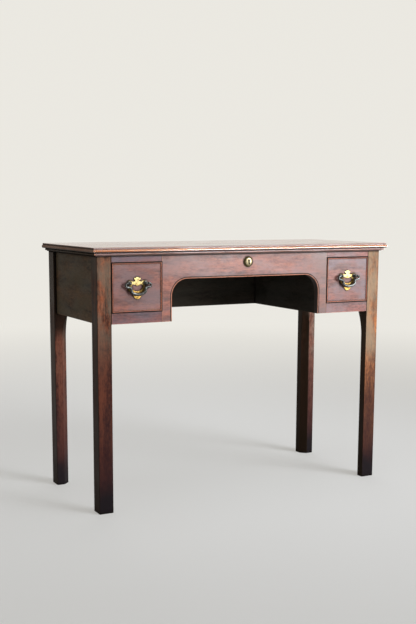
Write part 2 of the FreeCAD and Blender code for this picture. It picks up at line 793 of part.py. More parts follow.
# Each arc is (middle, end), from the top of the crown down to the tail's point
plate_edge_arcs = [((0.12, 0.93), (0.155, 0.76)), ((0.30, 0.79), (0.29, 0.60)),
                   ((0.20, 0.50), (0.18, 0.38)), ((0.33, 0.25), (0.52, 0.35)),
                   ((0.77, 0.46), (0.97, 0.16)), ((1.00, -0.04), (0.88, -0.11)),
                   ((0.75, -0.17), (0.73, -0.27)), ((0.89, -0.34), (0.81, -0.47)),
                   ((0.64, -0.55), (0.44, -0.70)), ((0.30, -0.87), (0.00, -1.00))]
plate_window_arcs = [((0.22, -0.10), (0.40, -0.05)), ((0.53, -0.20), (0.45, -0.38)),
                     ((0.24, -0.48), (0.00, -0.50))]


def plate_loop(start, arcs):
    edges = []
    for side in (1, -1):
        here = plate_point(start[0], start[1], side)
        for middle, end in arcs:
            there = plate_point(end[0], end[1], side)
            edges.append(arc(here, plate_point(middle[0], middle[1], side), there))
            here = there
    return Part.__sortEdges__(edges)


plate_blank = prism(plate_loop((0, 1), plate_edge_arcs), V(0, -plate_thickness, 0))
plate_window = prism(plate_loop((0, -0.16), plate_window_arcs), V(0, -plate_thickness, 0))

nut_y = front_inside
handle_posts = []
handle_nuts = []
post_holes = []
for post_x in post_centres:
    rosette_face = plate_thickness + rosette_thickness
    post = turned([(0, 0), (rosette_radius, 0), (rosette_radius, rosette_thickness * 0.5),
                   (neck_radius, rosette_thickness), (neck_radius, pivot_reach - plate_thickness),
                   (0, pivot_reach - plate_thickness)],
                  V(post_x, front_y - plate_thickness, post_z), V(0, -1, 0))
    head = Part.makeSphere(head_radius, V(post_x, pivot_y, post_z))
    shank_tip = nut_y + nut_thickness + shank_end
    shank = cylinder(shank_radius, V(post_x, front_y - plate_thickness, post_z), V(post_x, shank_tip, post_z))
    sign = -1 if post_x < handle_x else 1
    bore_start = V(post_x - sign * bail_pin_clearance - sign * (bail_pin_depth - head_radius), pivot_y, post_z)
    bore_end = V(post_x + sign * 2 * head_radius, pivot_y, post_z)
    bore = cylinder(bail_pin_radius + bail_pin_clearance, bore_start, bore_end)
    handle_posts.append(one_solid(fuse_all([post, head, shank]).cut(bore)))
    nut = box(post_x - nut_size / 2, post_x + nut_size / 2, nut_y, nut_y + nut_thickness,
              post_z - nut_size / 2, post_z + nut_size / 2)
    handle_nuts.append(one_solid(nut.cut(shank)))
    post_holes.append(cylinder(shank_radius + shank_clearance, V(post_x, front_y - plate_thickness, post_z),
                               V(post_x, front_inside, post_z)))
handle_plate = one_solid(cut_all(plate_blank.cut(plate_window), post_holes))


class Path:
    # A line of tangent runs and arcs in the plane of the bail; headings in degrees from +X
    def __init__(self, x, z, heading):
        self.x = x
        self.z = z
        self.heading = heading
        self.edges = []

    def point(self):
        return V(self.x, pivot_y, self.z)

    def run(self, length):
        start = self.point()
        self.x += length * math.cos(math.radians(self.heading))
        self.z += length * math.sin(math.radians(self.heading))
        self.edges.append(line(start, self.point()))

    def turn(self, radius, degrees):
        # Positive degrees turn to the left
        sign = 1 if degrees > 0 else -1
        to_centre = math.radians(self.heading + 90 * sign)
        centre_x = self.x + radius * math.cos(to_centre)
        centre_z = self.z + radius * math.sin(to_centre)
        start = self.point()
        outward = math.radians(self.heading - 90 * sign + degrees / 2)
        middle = V(centre_x + radius * math.cos(outward), pivot_y, centre_z + radius * math.sin(outward))
        self.heading += degrees
        outward = math.radians(self.heading - 90 * sign)
        self.x = centre_x + radius * math.cos(outward)
        self.z = centre_z + radius * math.sin(outward)
        self.edges.append(arc(start, middle, self.point()))


def bail():
    shoulder_x = post_spacing / 2 + head_radius + bail_shoulder_gap
    fall = math.radians(swan_fall)
    neck_run = (shoulder_x + shoulder_run - bow_half_width + shoulder_radius * math.sin(fall)
                - swan_radius * (1 - math.sin(fall))) / math.cos(fall)
    turn = math.radians(bow_turn)
    bow_radius = (bow_half_width - bow_side_radius * (1 - math.cos(turn))) / math.cos(turn)
    path = Path(handle_x - shoulder_x, post_z, 180)
    path.run(shoulder_run)
    path.turn(shoulder_radius, 180 - swan_fall)
    path.run(neck_run)
    path.turn(swan_radius, swan_fall - 90)
    path.run(bow_side_run)
    path.turn(bow_side_radius, bow_turn)
    path.turn(bow_radius, 180 - 2 * bow_turn)
    path.turn(bow_side_radius, bow_turn)
    path.run(bow_side_run)
    path.turn(swan_radius, swan_fall - 90)
    path.run(neck_run)
    path.turn(shoulder_radius, 180 - swan_fall)
    path.run(shoulder_run)
    start = V(handle_x - shoulder_x, pivot_y, post_z)
    ring = Part.Wire(Part.makeCircle(bail_radius, start, V(-1, 0, 0)))
    body = Part.Wire(path.edges).makePipeShell([ring], True, True)
    pins = []
    for sign in (-1, 1):
        outer = V(handle_x + sign * shoulder_x, pivot_y, post_z)
        inner_x = handle_x + sign * (post_spacing / 2 + head_radius - bail_pin_depth)
        pins.append(cylinder(bail_pin_radius, V(inner_x, pivot_y, post_z), outer))
    return one_solid(fuse_all([body] + pins))


handle_bail = bail()

drawer_front = one_solid(cut_all(drawer_front_board, [rebate, bottom_board] + front_tails + post_holes))

# Stops on the runners behind the drawer sides

drawer_stops = []
for x0, x1 in ((drawer_x0, drawer_x0 + stop_width), (drawer_x1 - stop_width, drawer_x1)):
    stop = box(x0, x1, drawer_back_y + stop_gap, back_front, opening_bottom, opening_bottom + stop_height)
    stop = cut_all(stop, leg_posts + [left_outer_runner, left_inner_runner])
    drawer_stops += both_sides(one_solid(stop))

# Write one STEP file per node

os.makedirs("parts", exist_ok=True)


def export(name, shape):
    if not shape.isValid():
        raise ValueError("invalid shape: " + name)
    shape.exportStep(os.path.join("parts", name + ".step"))
    print("%-26s %9.1f cm3" % (name, shape.Volume / 1000))


def export_group(name, shapes):
    export(name, Part.makeCompound(shapes))


def export_pair(name, shape):
    export("left_" + name, shape)
    export("right_" + name, mirrored(shape))


def export_drawer_fittings(name, shapes):
    # The same fitting on each drawer, the right one moved across and not mirrored
    to_right = V(2 * drawer_centre_x, 0, 0)
    export_group("left_" + name, shapes)
    export_group("right_" + name, [shape.translated(to_right) for shape in shapes])


export("front_left_leg", front_left)
export("front_right_leg", mirrored(front_left))
export("rear_left_leg", rear_left)
export("rear_right_leg", mirrored(rear_left))
export_pair("side_panel", left_side_panel)
export_pair("top_rail", left_top_rail)
export_pair("bottom_rail", left_bottom_rail)
export("frieze_board", frieze_board)
export("back_panel", back_panel)
export("left_kneehole_board", kneehole_boards[0])
export("right_kneehole_board", kneehole_boards[1])
export("well_floor", well_floor)
export_pair("dust_board", left_dust_board)
export_pair("outer_runner", left_outer_runner)
export_pair("inner_runner", left_inner_runner)
export_group("glue_blocks", glue_blocks)
export_group("drawer_stops", drawer_stops)
export("front_moulding", front_moulding)
export_pair("moulding", left_moulding)
export("escutcheon", escutcheon)
export_group("escutcheon_pins", escutcheon_pins)
export("lock_case", lock_case)
export_group("lock_screws", lock_screws)
export("lock_bolt", lock_bolt)
export_group("lower_hinge_leaves", lower_leaves)
export_group("lower_hinge_screws", lower_screws)
export_group("hinge_pins", hinge_pins)
export("top_board", top_board)
export_group("upper_hinge_leaves", upper_leaves)
export_group("upper_hinge_screws", upper_screws)
export("link_plate", link_plate)
export_group("link_plate_screws", link_screws)
export_pair("drawer_front", drawer_front)
export_pair("outer_drawer_side", outer_drawer_side)
export_pair("inner_drawer_side", inner_drawer_side)
export_pair("drawer_back", drawer_back)
export_pair("drawer_bottom", bottom_board)
export_drawer_fittings("cockbead", cockbead)
export_drawer_fittings("handle_plate", [handle_plate])
export_drawer_fittings("handle_posts", handle_posts)
export_drawer_fittings("handle_nuts", handle_nuts)
export_drawer_fittings("bail", [handle_bail])
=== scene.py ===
import json
import math
import random

import bmesh
import bpy
from mathutils import Matrix, Vector


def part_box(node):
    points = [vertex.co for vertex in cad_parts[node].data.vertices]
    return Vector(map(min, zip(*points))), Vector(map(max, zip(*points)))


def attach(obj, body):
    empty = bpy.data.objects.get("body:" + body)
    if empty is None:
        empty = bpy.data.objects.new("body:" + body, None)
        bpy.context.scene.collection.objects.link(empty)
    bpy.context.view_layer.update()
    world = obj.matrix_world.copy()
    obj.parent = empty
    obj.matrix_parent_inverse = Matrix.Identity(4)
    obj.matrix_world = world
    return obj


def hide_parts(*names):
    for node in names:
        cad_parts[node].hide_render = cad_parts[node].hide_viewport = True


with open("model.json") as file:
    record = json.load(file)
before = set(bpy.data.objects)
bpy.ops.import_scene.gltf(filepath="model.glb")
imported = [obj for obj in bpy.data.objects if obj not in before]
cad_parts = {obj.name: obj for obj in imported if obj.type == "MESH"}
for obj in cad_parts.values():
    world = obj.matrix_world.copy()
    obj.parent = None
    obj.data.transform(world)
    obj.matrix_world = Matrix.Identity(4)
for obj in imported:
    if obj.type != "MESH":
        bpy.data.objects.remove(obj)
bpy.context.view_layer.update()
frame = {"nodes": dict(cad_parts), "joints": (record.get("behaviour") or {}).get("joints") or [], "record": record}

# Old mahogany lowboy with brass swan-neck handles
# 1 unit is 1 m, X to the right, Y to the back, Z up

nodes = frame["nodes"]
print("frame loaded:", len(nodes), "nodes")

# Camera, lamps and floor

camera = {
    "place": (-1.5298, -2.8021, 0.8682),
    "yaw": 27.451,               # degrees, to the right of straight ahead
    "pitch": -8.957, "roll": 0.141,
    "lens": 58.47, "sensor": 36, "shift": (0.0201, 0.0891),
}


def setCamera(look):
    yaw, pitch, roll = (math.radians(look[key]) for key in ("yaw", "pitch", "roll"))
    data = bpy.data.cameras.new("camera")
    data.lens = look["lens"]
    data.sensor_width = look["sensor"]
    data.shift_x, data.shift_y = look["shift"]
    eye = bpy.data.objects.new("camera", data)
    turn = Matrix.Rotation(-yaw, 4, "Z") @ Matrix.Rotation(math.pi / 2 + pitch, 4, "X")
    eye.matrix_world = Matrix.Translation(look["place"]) @ turn @ Matrix.Rotation(roll, 4, "Z")
    bpy.context.collection.objects.link(eye)
    bpy.context.scene.camera = eye


def areaLight(name, place, target, size, power, spread, colour, glossy=True, diffuse=True):
    data = bpy.data.lights.new(name, "AREA")
    data.shape = "RECTANGLE"
    data.size, data.size_y = size
    data.energy = power
    data.spread = math.radians(spread)
    data.color = colour
    lamp = bpy.data.objects.new(name, data)
    lamp.location = place
    lamp.rotation_euler = (Vector(target) - Vector(place)).to_track_quat("-Z", "Y").to_euler()
    lamp.visible_camera = False
    lamp.visible_glossy = glossy
    lamp.visible_diffuse = diffuse
    bpy.context.collection.objects.link(lamp)


window = dict(place=(2.02, -2.85, 1.42), target=(0.48, 0.0, 1.0), size=(1.8, 2.0), power=17.6, spread=50,
              colour=(0.95, 0.975, 1.0))
lights = {
    "window": window,
    "upperPane": dict(
        window, place=(1.48, -2.45, 2.7), target=(0.1, -0.2, 0.75), size=(2.1, 1.1), power=7.2, spread=70),
    "overhead": dict(
        place=(0.25, -0.6, 3.1), target=(0.15, -0.1, 0.4), size=(3.4, 2.6), power=18.5, spread=150,
        colour=(0.98, 0.985, 1.0)),
    "windowOnTop": dict(window, glossy=False),
    "noseGlint": dict(
        window, place=(2.02, -2.85, 0.38), target=(0.48, 0.0, 0.72), size=(1.8, 0.72), power=32,
        diffuse=False),
    "rearFill": dict(
        place=(1.2, 3.0, 1.8), target=(0.0, 0.0, 0.5), size=(2.4, 1.6), power=18, spread=180,
        colour=(1.0, 0.98, 0.95), glossy=False),
}
# The top board takes the window without its mirror image, and a low glint on its nose
lampsOfTop = {"window": "EXCLUDE", "windowOnTop": "INCLUDE", "noseGlint": "INCLUDE"}
studio = {
    "backdrop": (0.83, 0.81, 0.755),
    "ambient": (1.0, 0.99, 0.97), "ambientStrength": 0.16,
    "floor": (0.755, 0.77, 0.795), "floorRough": 0.7, "floorShine": 0.2, "floorRadius": 24.0,
    "floorGlow": 0.42,           # share of the backdrop's own light that the floor shows near the object
    "fadeFrom": 0.9,             # metres from the middle, where the floor starts to meet the backdrop
    "fadeTo": 4.6,
}

scene = bpy.context.scene
scene.view_settings.view_transform = "Standard"
setCamera(camera)
for lampName, lamp in lights.items():
    areaLight(lampName, **lamp)


def feed(tree, socket, value):
    # Links another socket's value, or sets a plain one
    if isinstance(value, bpy.types.NodeSocket):
        tree.links.new(value, socket)
    else:
        socket.default_value = (*value, 1.0) if socket.type == "RGBA" else value


def node(tree, kind, inputs=None, **settings):
    made = tree.nodes.new("ShaderNode" + kind)
    for key, value in settings.items():
        setattr(made, key, value)
    for key, value in (inputs or {}).items():
        feed(tree, made.inputs[key], value)
    return made


def maths(tree, operation, *values, clamp=False):
    return node(tree, "Math", dict(enumerate(values)), operation=operation, use_clamp=clamp).outputs[0]


def mathsOf(operation):
    return lambda tree, *values, **settings: maths(tree, operation, *values, **settings)


plus, minus, times, timesPlus, most, unsigned = (
    mathsOf(name) for name in ("ADD", "SUBTRACT", "MULTIPLY", "MULTIPLY_ADD", "MAXIMUM", "ABSOLUTE"))


def remap(tree, value, low, high, toLow=0.0, toHigh=1.0):
    span = {"Value": value, "From Min": low, "From Max": high, "To Min": toLow, "To Max": toHigh}
    return node(tree, "MapRange", span, interpolation_type="SMOOTHSTEP").outputs[0]


def flip(tree, value):
    return minus(tree, 1.0, value)


def sway(tree, part, swing, base=0.0):
    # Swings to both sides of base with a noise that runs from 0 to 1
    return timesPlus(tree, minus(tree, part, 0.5), swing, base)


def blendColour(tree, factor, first, second, mode="MIX"):
    return node(tree, "Mix", {0: factor, 6: first, 7: second}, data_type="RGBA", blend_type=mode).outputs[2]


def newMaterial(name):
    material = bpy.data.materials.new(name)
    material.use_nodes = True
    tree = material.node_tree
    tree.nodes.clear()
    return material, tree, node(tree, "TexCoord").outputs["Object"]


def setWorld(look):
    world = bpy.data.worlds.new("studio")
    scene.world = world
    world.use_nodes = True
    tree = world.node_tree
    tree.nodes.clear()
    rays = node(tree, "LightPath").outputs
    seen = most(tree, rays["Is Glossy Ray"], rays["Is Transmission Ray"])
    seen = most(tree, rays["Is Camera Ray"], seen)
    ambient = node(tree, "Background", {"Color": look["ambient"], "Strength": look["ambientStrength"]})
    shown = node(tree, "Background", {"Color": look["backdrop"], "Strength": 1.0})
    mixed = node(tree, "MixShader", {0: seen, 1: ambient.outputs[0], 2: shown.outputs[0]})
    node(tree, "OutputWorld", {"Surface": mixed.outputs[0]})


def looseObject(name, bm):
    mesh = bpy.data.meshes.new(name)
    bm.to_mesh(mesh)
    bm.free()
    made = bpy.data.objects.new(name, mesh)
    bpy.context.collection.objects.link(made)
    return made


def makeFloor(look):
    bm = bmesh.new()
    bmesh.ops.create_circle(bm, cap_ends=True, segments=96, radius=look["floorRadius"])
    floor = looseObject("floor", bm)
    material, tree, place = newMaterial("paleFloor")
    distance = node(tree, "VectorMath", {0: place}, operation="LENGTH").outputs["Value"]
    away = remap(tree, distance, look["fadeFrom"], look["fadeTo"], look["floorGlow"], 1.0)
    rays = node(tree, "LightPath").outputs
    seen = most(tree, rays["Is Camera Ray"], rays["Is Glossy Ray"])
    surface = node(tree, "BsdfPrincipled", {
        "Base Color": look["floor"], "Roughness": look["floorRough"],
        "Specular IOR Level": look["floorShine"]})
    glow = node(tree, "Emission", {"Color": look["backdrop"], "Strength": 1.0})
    mixed = node(tree, "MixShader", {
        0: times(tree, away, seen), 1: surface.outputs[0], 2: glow.outputs[0]})
    node(tree, "OutputMaterial", {"Surface": mixed.outputs[0]})
    floor.data.materials.append(material)


setWorld(studio)
makeFloor(studio)
print("studio ready")

# Effects that more than one material uses
# A noise is its scale, detail, roughness and distortion, and a pair is where an effect starts and is full


def newGroup(name, inputs, outputs):
    # Labels of the sockets, by kind
    group = bpy.data.node_groups.new(name, "ShaderNodeTree")
    for sockets, side in ((inputs, "INPUT"), (outputs, "OUTPUT")):
        for kind, labels in sockets.items():
            for label in labels:
                group.interface.new_socket(name=label, in_out=side, socket_type="NodeSocket" + kind)
    return group, group.nodes.new("NodeGroupInput").outputs, group.nodes.new("NodeGroupOutput").inputs


def noise(tree, vector, scale, detail, roughness=0.5, distortion=0.0):
    return node(tree, "TexNoise", {
        "Vector": vector, "Scale": scale, "Detail": detail, "Roughness": roughness,
        "Distortion": distortion}).outputs["Fac"]


def mapping(tree, vector, **inputs):
    return node(tree, "Mapping", {"Vector": vector, **inputs}).outputs[0]


grainFigure = {
    "rings": {"Scale": 13.0, "Distortion": 5.5, "Detail": 3.0, "Detail Scale": 1.6, "Detail Roughness": 0.62},
    "ringStretch": (0.16, 1, 1),
    "noises": {                  # scales along the grain and across it, then detail and so on
        "broad": ((1.5, 32, 32), 8, 0.7, 0.5),
        "ribbon": ((7, 120, 120), 6, 0.68, 0.3),
        "fibre": ((22, 640, 640), 4, 0.7),
        "cloud": ((6, 13, 13), 4, 0.6, 0.5),
        "fade": ((8, 17, 17), 5, 0.62, 0.4),
        "mottle": ((70, 170, 170), 4, 0.65),
        "tick": ((85, 1250, 1250), 2),
    },
    "tone": (("rings", "Stripe", 0.55), ("broad", "Stripe", 1.3), ("ribbon", "Stripe", 1.2),
             ("fibre", "Fibre", 1.2), ("mottle", "Fibre", 2.0), ("cloud", "Cloud", 1.2)),
    "fading": (0.34, 0.64),
    "pores": (0.6, 0.72),
    "poreShade": 0.7,
    "fibreRise": 0.35,
}


def figureGroup(look):
    # Grain runs along X of the vector that comes in, in metres
    group, put, take = newGroup(
        "mahoganyFigure",
        {"Vector": ["Vector"], "Color": ["Dark", "Light", "Faded"],
         "Float": ["Stripe", "Fibre", "Cloud", "Pores", "Fading"]},
        {"Color": ["Color"], "Float": ["Height", "Shine"]})
    parts = {key: noise(group, mapping(group, put["Vector"], Scale=stretch), 1.0, *rest)
             for key, (stretch, *rest) in look["noises"].items()}
    rings = {"Vector": mapping(group, put["Vector"], Scale=look["ringStretch"]), **look["rings"]}
    parts["rings"] = node(group, "TexWave", rings, wave_type="RINGS", rings_direction="X").outputs["Fac"]
    tone = 0.0
    for part, share, weight in look["tone"]:
        tone = timesPlus(group, sway(group, parts[part], weight), put[share], tone)
    tone = plus(group, tone, 0.5, clamp=True)
    colour = blendColour(group, tone, put["Dark"], put["Light"])
    faded = times(group, remap(group, parts["fade"], *look["fading"]), put["Fading"])
    colour = blendColour(group, faded, colour, put["Faded"])
    porous = times(group, remap(group, parts["tick"], *look["pores"]), put["Pores"])
    shade = times(group, porous, look["poreShade"])
    feed(group, take["Color"], blendColour(group, shade, colour, put["Dark"], "MULTIPLY"))
    raised = times(group, parts["fibre"], look["fibreRise"])
    feed(group, take["Height"], minus(group, raised, porous))
    feed(group, take["Shine"], parts["cloud"])
    return group


handlingAndShade = {
    "breakup": (55, 4, 0.65), "sweep": (9, 2, 0.5), "edgeBreakup": 0.5, "edgeSweep": 0.7,
    "rubbed": (0.12, 0.42),
    "reached": (0.72, 0.9),     # how open a place is before hands rub it
    "cornerBreakup": 0.25, "corner": (0.14, 0.6), "cornerShare": 0.8, "creviceBreakup": 0.1,
    "crevice": (0.05, 0.22),
}


def wearAndShadeGroup(look):
    # Rubbed arrises, and dirt with painted shade in corners and crevices. Convex, Open and Tight are 1 on an open
    # flat face and fall off towards an edge, into a corner and beside a narrow gap
    group, put, take = newGroup(
        "wornAndShaded", {"Vector": ["Position"], "Float": ["Convex", "Open", "Tight", "Rub", "DirtAndShadeShare"]},
        {"Float": ["Rubbed", "DirtAndShade"]})
    breakup = noise(group, put["Position"], *look["breakup"])
    sweep = noise(group, put["Position"], *look["sweep"])
    edge = sway(group, breakup, look["edgeBreakup"], flip(group, put["Convex"]))
    edge = sway(group, sweep, look["edgeSweep"], edge)
    rubbed = times(group, remap(group, edge, *look["rubbed"]), put["Rub"])
    reached = remap(group, put["Tight"], *look["reached"])
    feed(group, take["Rubbed"], times(group, rubbed, reached))
    # Darker into corners and beside narrow gaps: dirt, and painted shade
    corner = sway(group, breakup, look["cornerBreakup"], flip(group, put["Open"]))
    corner = times(group, remap(group, corner, *look["corner"]), look["cornerShare"])
    crevice = sway(group, breakup, look["creviceBreakup"], flip(group, put["Tight"]))
    dirtAndShade = most(group, corner, remap(group, crevice, *look["crevice"]))
    feed(group, take["DirtAndShade"], times(group, dirtAndShade, put["DirtAndShadeShare"]))
    return group


polish = {
    "spots": (17, 5, 0.7, 0.3), "stained": (0.6, 0.78),
    "scratchTurns": ((0.3, 0.2, 0.9), (1.1, 0.5, 2.2)), "scratchStretch": (7, 240, 240),
    "lines": (1, 1, 0.4), "scratched": (0.7, 0.76), "patches": (6, 2), "patchy": (0.45, 0.65),
    "dents": (34, 2), "dented": (0.66, 0.82),
}


def ageGroup(look):
    # Marks of use in old polish: stains, short scratches and shallow dents
    group, put, take = newGroup(
        "oldPolish", {"Vector": ["Position"], "Float": ["Stains", "Scratches"]},
        {"Float": ["Stain", "Scratch", "Dent"]})
    position = put["Position"]
    stain = remap(group, noise(group, position, *look["spots"]), *look["stained"])
    feed(group, take["Stain"], times(group, stain, put["Stains"]))
    marks = 0.0
    for turn in look["scratchTurns"]:
        turned = mapping(group, position, Rotation=turn, Scale=look["scratchStretch"])
        lines = remap(group, noise(group, turned, *look["lines"]), *look["scratched"])
        marks = most(group, marks, lines)
    patches = remap(group, noise(group, position, *look["patches"]), *look["patchy"])
    marks = times(group, marks, patches)
    feed(group, take["Scratch"], times(group, marks, put["Scratches"]))
    feed(group, take["Dent"], remap(group, noise(group, position, *look["dents"]), *look["dented"]))
    return group


tarnishing = {
    "broad": (120, 5, 0.65, 0.4), "broadSwing": 1.8, "fine": (900, 4, 0.6), "fineSwing": 0.5,
    "corners": 1.3, "tarnished": (0.2, 0.85), "spots": (320, 3, 0.6), "green": (0.58, 0.7),
    "rough": 0.22, "tarnishRough": 0.28,
}


def brassGroup(look):
    # Brass rubbed bright where it is handled, brown and green where it isn't
    group, put, take = newGroup(
        "agedBrass",
        {"Vector": ["Position"], "Float": ["Open", "Tarnish"], "Color": ["Bright", "Brown", "Green"]},
        {"Color": ["Color"], "Float": ["Roughness", "Height"]})
    position = put["Position"]
    fine = noise(group, position, *look["fine"])
    tarnish = sway(group, noise(group, position, *look["broad"]), look["broadSwing"], put["Tarnish"])
    tarnish = sway(group, fine, look["fineSwing"], tarnish)
    tarnish = timesPlus(group, flip(group, put["Open"]), look["corners"], tarnish)
    tarnish = remap(group, tarnish, *look["tarnished"])
    green = remap(group, noise(group, position, *look["spots"]), *look["green"])
    dull = blendColour(group, green, put["Brown"], put["Green"])
    feed(group, take["Color"], blendColour(group, tarnish, put["Bright"], dull))
    feed(group, take["Roughness"], timesPlus(group, tarnish, look["tarnishRough"], look["rough"]))
    feed(group, take["Height"], times(group, fine, tarnish))
    return group


shared = {
    "figure": figureGroup(grainFigure), "wearAndShade": wearAndShadeGroup(handlingAndShade), "age": ageGroup(polish),
    "brass": brassGroup(tarnishing),
}


def useGroup(tree, key, inputs):
    return node(tree, "Group", inputs, node_tree=shared[key]).outputs


def occlusion(tree, distance, samples=6, **settings):
    return node(tree, "AmbientOcclusion", {"Distance": distance}, samples=samples, **settings).outputs["AO"]


def closeMaterial(tree, look, height, inputs):
    bump = node(tree, "Bump", {"Strength": look["bump"], "Distance": look["bumpDistance"], "Height": height})
    shader = node(tree, "BsdfPrincipled", {
        "Normal": bump.outputs[0], "Coat Roughness": look["coatRough"], **inputs})
    node(tree, "OutputMaterial", {"Surface": shader.outputs[0]})


# Wood

grainTurn = {"x": (0, 0, 0), "y": (0, 0, -math.pi / 2), "z": (0, math.pi / 2, 0)}

woods = {
    "front": dict(
        dark=(0.074, 0.019, 0.013), light=(0.372, 0.108, 0.06), faded=(0.228, 0.118, 0.108),
        stripe=0.95, fibre=0.85, cloud=0.75, pores=0.8, fading=0.75, rough=0.4, coat=0.1, shine=0.42,
        rubbedColour=(0.6, 0.228, 0.102), rub=0.6, stains=0.45, grime=0.97, edgeReach=0.0035),
    "rail": dict(
        dark=(0.05, 0.019, 0.022), light=(0.25, 0.079, 0.067), faded=(0.134, 0.096, 0.12),
        stripe=1.0, fibre=0.95, cloud=0.8, pores=0.8, fading=0.85, rough=0.42, coat=0.06, shine=0.36,
        rubbedColour=(0.504, 0.168, 0.114), rub=0.6, stains=0.5, grime=0.97, edgeReach=0.0035),
    "leg": dict(
        dark=(0.036, 0.011, 0.007), light=(0.396, 0.115, 0.05), faded=(0.192, 0.144, 0.101),
        stripe=1.2, fibre=1.2, cloud=0.85, pores=0.8, fading=0.85, rough=0.46, coat=0.0, shine=0.045,
        fadeFrom=0.36, fadeTo=0.57, deep=(0.035, 0.013, 0.014),
        # darker down the leg: painted shade of the light's fall towards the floor, partly older polish
        shades=((0.36, 0.66, 0.7), (0.04, 0.36, 0.25)),
        # on the legs the rubbed colour is dark, so their arrises and scratches darken instead of lighten
        rubbedColour=(0.036, 0.017, 0.011), rub=0.85, stains=0.5, grime=0.97, edgeReach=0.004),
    "bead": dict(
        dark=(0.168, 0.031, 0.016), light=(0.624, 0.15, 0.054), faded=(0.384, 0.108, 0.066),
        stripe=0.8, fibre=0.6, cloud=0.8, pores=0.5, fading=0.4, rough=0.26, coat=0.35, shine=0.4,
        rubbedColour=(0.936, 0.276, 0.084), rub=0.85, stains=0.4, grime=1.0, edgeReach=0.0016),
    "top": dict(
        dark=(0.084, 0.023, 0.013), light=(0.36, 0.108, 0.05), faded=(0.24, 0.12, 0.078),
        stripe=1.0, fibre=0.5, cloud=0.9, pores=0.5, fading=0.45, rough=0.2, coat=0.64, shine=0.5,
        rubbedColour=(0.696, 0.228, 0.066), rub=0.75, stains=0.4, grime=1.0, edgeReach=0.003),
    "side": dict(
        dark=(0.02, 0.011, 0.006), light=(0.15, 0.082, 0.04), faded=(0.1, 0.078, 0.047),
        stripe=0.8, fibre=1.0, cloud=1.5, pores=0.6, fading=0.7, rough=0.55, coat=0.0, shine=0.06,
        rubbedColour=(0.12, 0.06, 0.035), rub=0.5, stains=0.8, grime=0.97, edgeReach=0.004),
    # near black: painted shade inside the frame and the kneehole
    "inner": dict(
        dark=(0.01, 0.008, 0.006), light=(0.038, 0.029, 0.021), faded=(0.034, 0.031, 0.024),
        stripe=0.7, fibre=0.6, cloud=0.6, pores=0.6, fading=0.6, rough=0.8, coat=0.0, shine=0.08,
        rubbedColour=(0.1, 0.07, 0.045), rub=0.5, stains=0.5, grime=0.8, edgeReach=0.004),
    "lining": dict(
        dark=(0.17, 0.1, 0.052), light=(0.39, 0.255, 0.145), faded=(0.3, 0.21, 0.13),
        stripe=0.6, fibre=0.7, cloud=0.6, pores=0.8, fading=0.4, rough=0.65, coat=0.0, shine=0.3,
        rubbedColour=(0.46, 0.32, 0.2), rub=0.6, stains=0.6, grime=0.75, edgeReach=0.003),
}
# The left drawer's copy, darker: painted shade away from the window
woods["shadedFront"] = dict(woods["front"], light=(0.31, 0.09, 0.055), faded=(0.18, 0.102, 0.104))
# The right drawer's copy, greyer and bluer: a painted sheen
woods["sheenFront"] = dict(
    woods["front"], light=(0.286, 0.096, 0.067), faded=(0.192, 0.138, 0.151), fading=0.95)
# The front right leg's copy, paler: painted light
woods["litLeg"] = dict(
    woods["leg"], dark=(0.12, 0.048, 0.029), light=(0.54, 0.206, 0.079), fading=0.75,
    faded=(0.324, 0.247, 0.166), stripe=0.8, fibre=1.0, fadeFrom=0.35, fadeTo=0.46,
    shades=((0.25, 0.38, 0.76), (0.03, 0.26, 0.19)))
# The rear right leg's copy, darker with a paler faded top: painted shade and painted sheen
woods["shadedLeg"] = dict(
    woods["leg"], light=(0.266, 0.101, 0.067), faded=(0.3, 0.228, 0.182), fading=0.95,
    fadeFrom=0.3, fadeTo=0.42, shades=((0.26, 0.44, 0.64), (0.02, 0.28, 0.28)))
# The rear left leg's copy, darker down the leg: painted shade
woods["shadedRedLeg"] = dict(woods["leg"], light=(0.318, 0.106, 0.062), shades=((0.03, 0.62, 0.9),), shine=0.06)
# The right rails' copy, paler: painted light
woods["litRail"] = dict(woods["rail"], light=(0.324, 0.11, 0.084), faded=(0.21, 0.156, 0.163))
# paler than the top, partly a painted sheen
woods["moulding"] = dict(
    woods["top"], light=(0.48, 0.198, 0.15), faded=(0.432, 0.264, 0.246), fading=0.8,
    rough=0.22, coat=0.8, grime=0.5)
# The left moulding's copy, dark: painted shade on the side away from the light
woods["shadedMoulding"] = dict(woods["side"], light=(0.06, 0.036, 0.018), faded=(0.045, 0.034, 0.02))
legKinds = ("leg", "litLeg", "shadedLeg", "shadedRedLeg")
frontKinds = ("front", "shadedFront", "sheenFront", "rail", "litRail", "bead")
finish = {                       # what all the woods share
    "shift": (0.731, 1.37, 0.477),  # how far the grain moves from board to board
    "cornerReach": 0.018, "creviceReach": 0.005, "scratches": 0.5, "scratchTint": 0.5,
    # grime is the dark colour of dirt and of painted shade in corners, crevices and gaps
    "cloudy": (0.3, 0.7), "roughSpan": (-0.05, 0.09), "stainRough": 0.2, "grime": (0.008, 0.006, 0.005),
    "grimeRough": 0.35, "ragged": (90, 3, 0.6), "raggedness": 0.0016, "rise": 0.5, "scratchDepth": 0.6,
    "dentDepth": 0.5, "bump": 0.35, "bumpDistance": 0.0006, "coatRough": 0.1,
}
footGrime = {
    "colour": (0.012, 0.01, 0.012), "height": (0.12, 0.03), "ragged": (22, 4, 0.6), "raggedness": 0.07,
    "share": 0.92, "rough": 0.12, "leastFading": 0.1,
}
legFlankShade = {
    # Painted shade on the faces of the legs turned away from the light
    "colour": (0.018, 0.01, 0.005),
    "face": (0.0014, 0.0006),    # how far in from the face its painted shade ends and is full
    "outer": 0.8, "inner": 0.92, "chamfer": (0.021, 0.02),
    "hood": (0.455, 0.505),      # heights where the frame above starts to shade the leg
    "hoodShare": 0.85,
}
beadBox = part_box("right_cockbead")
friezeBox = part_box("frieze_board")
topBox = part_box("top_board")
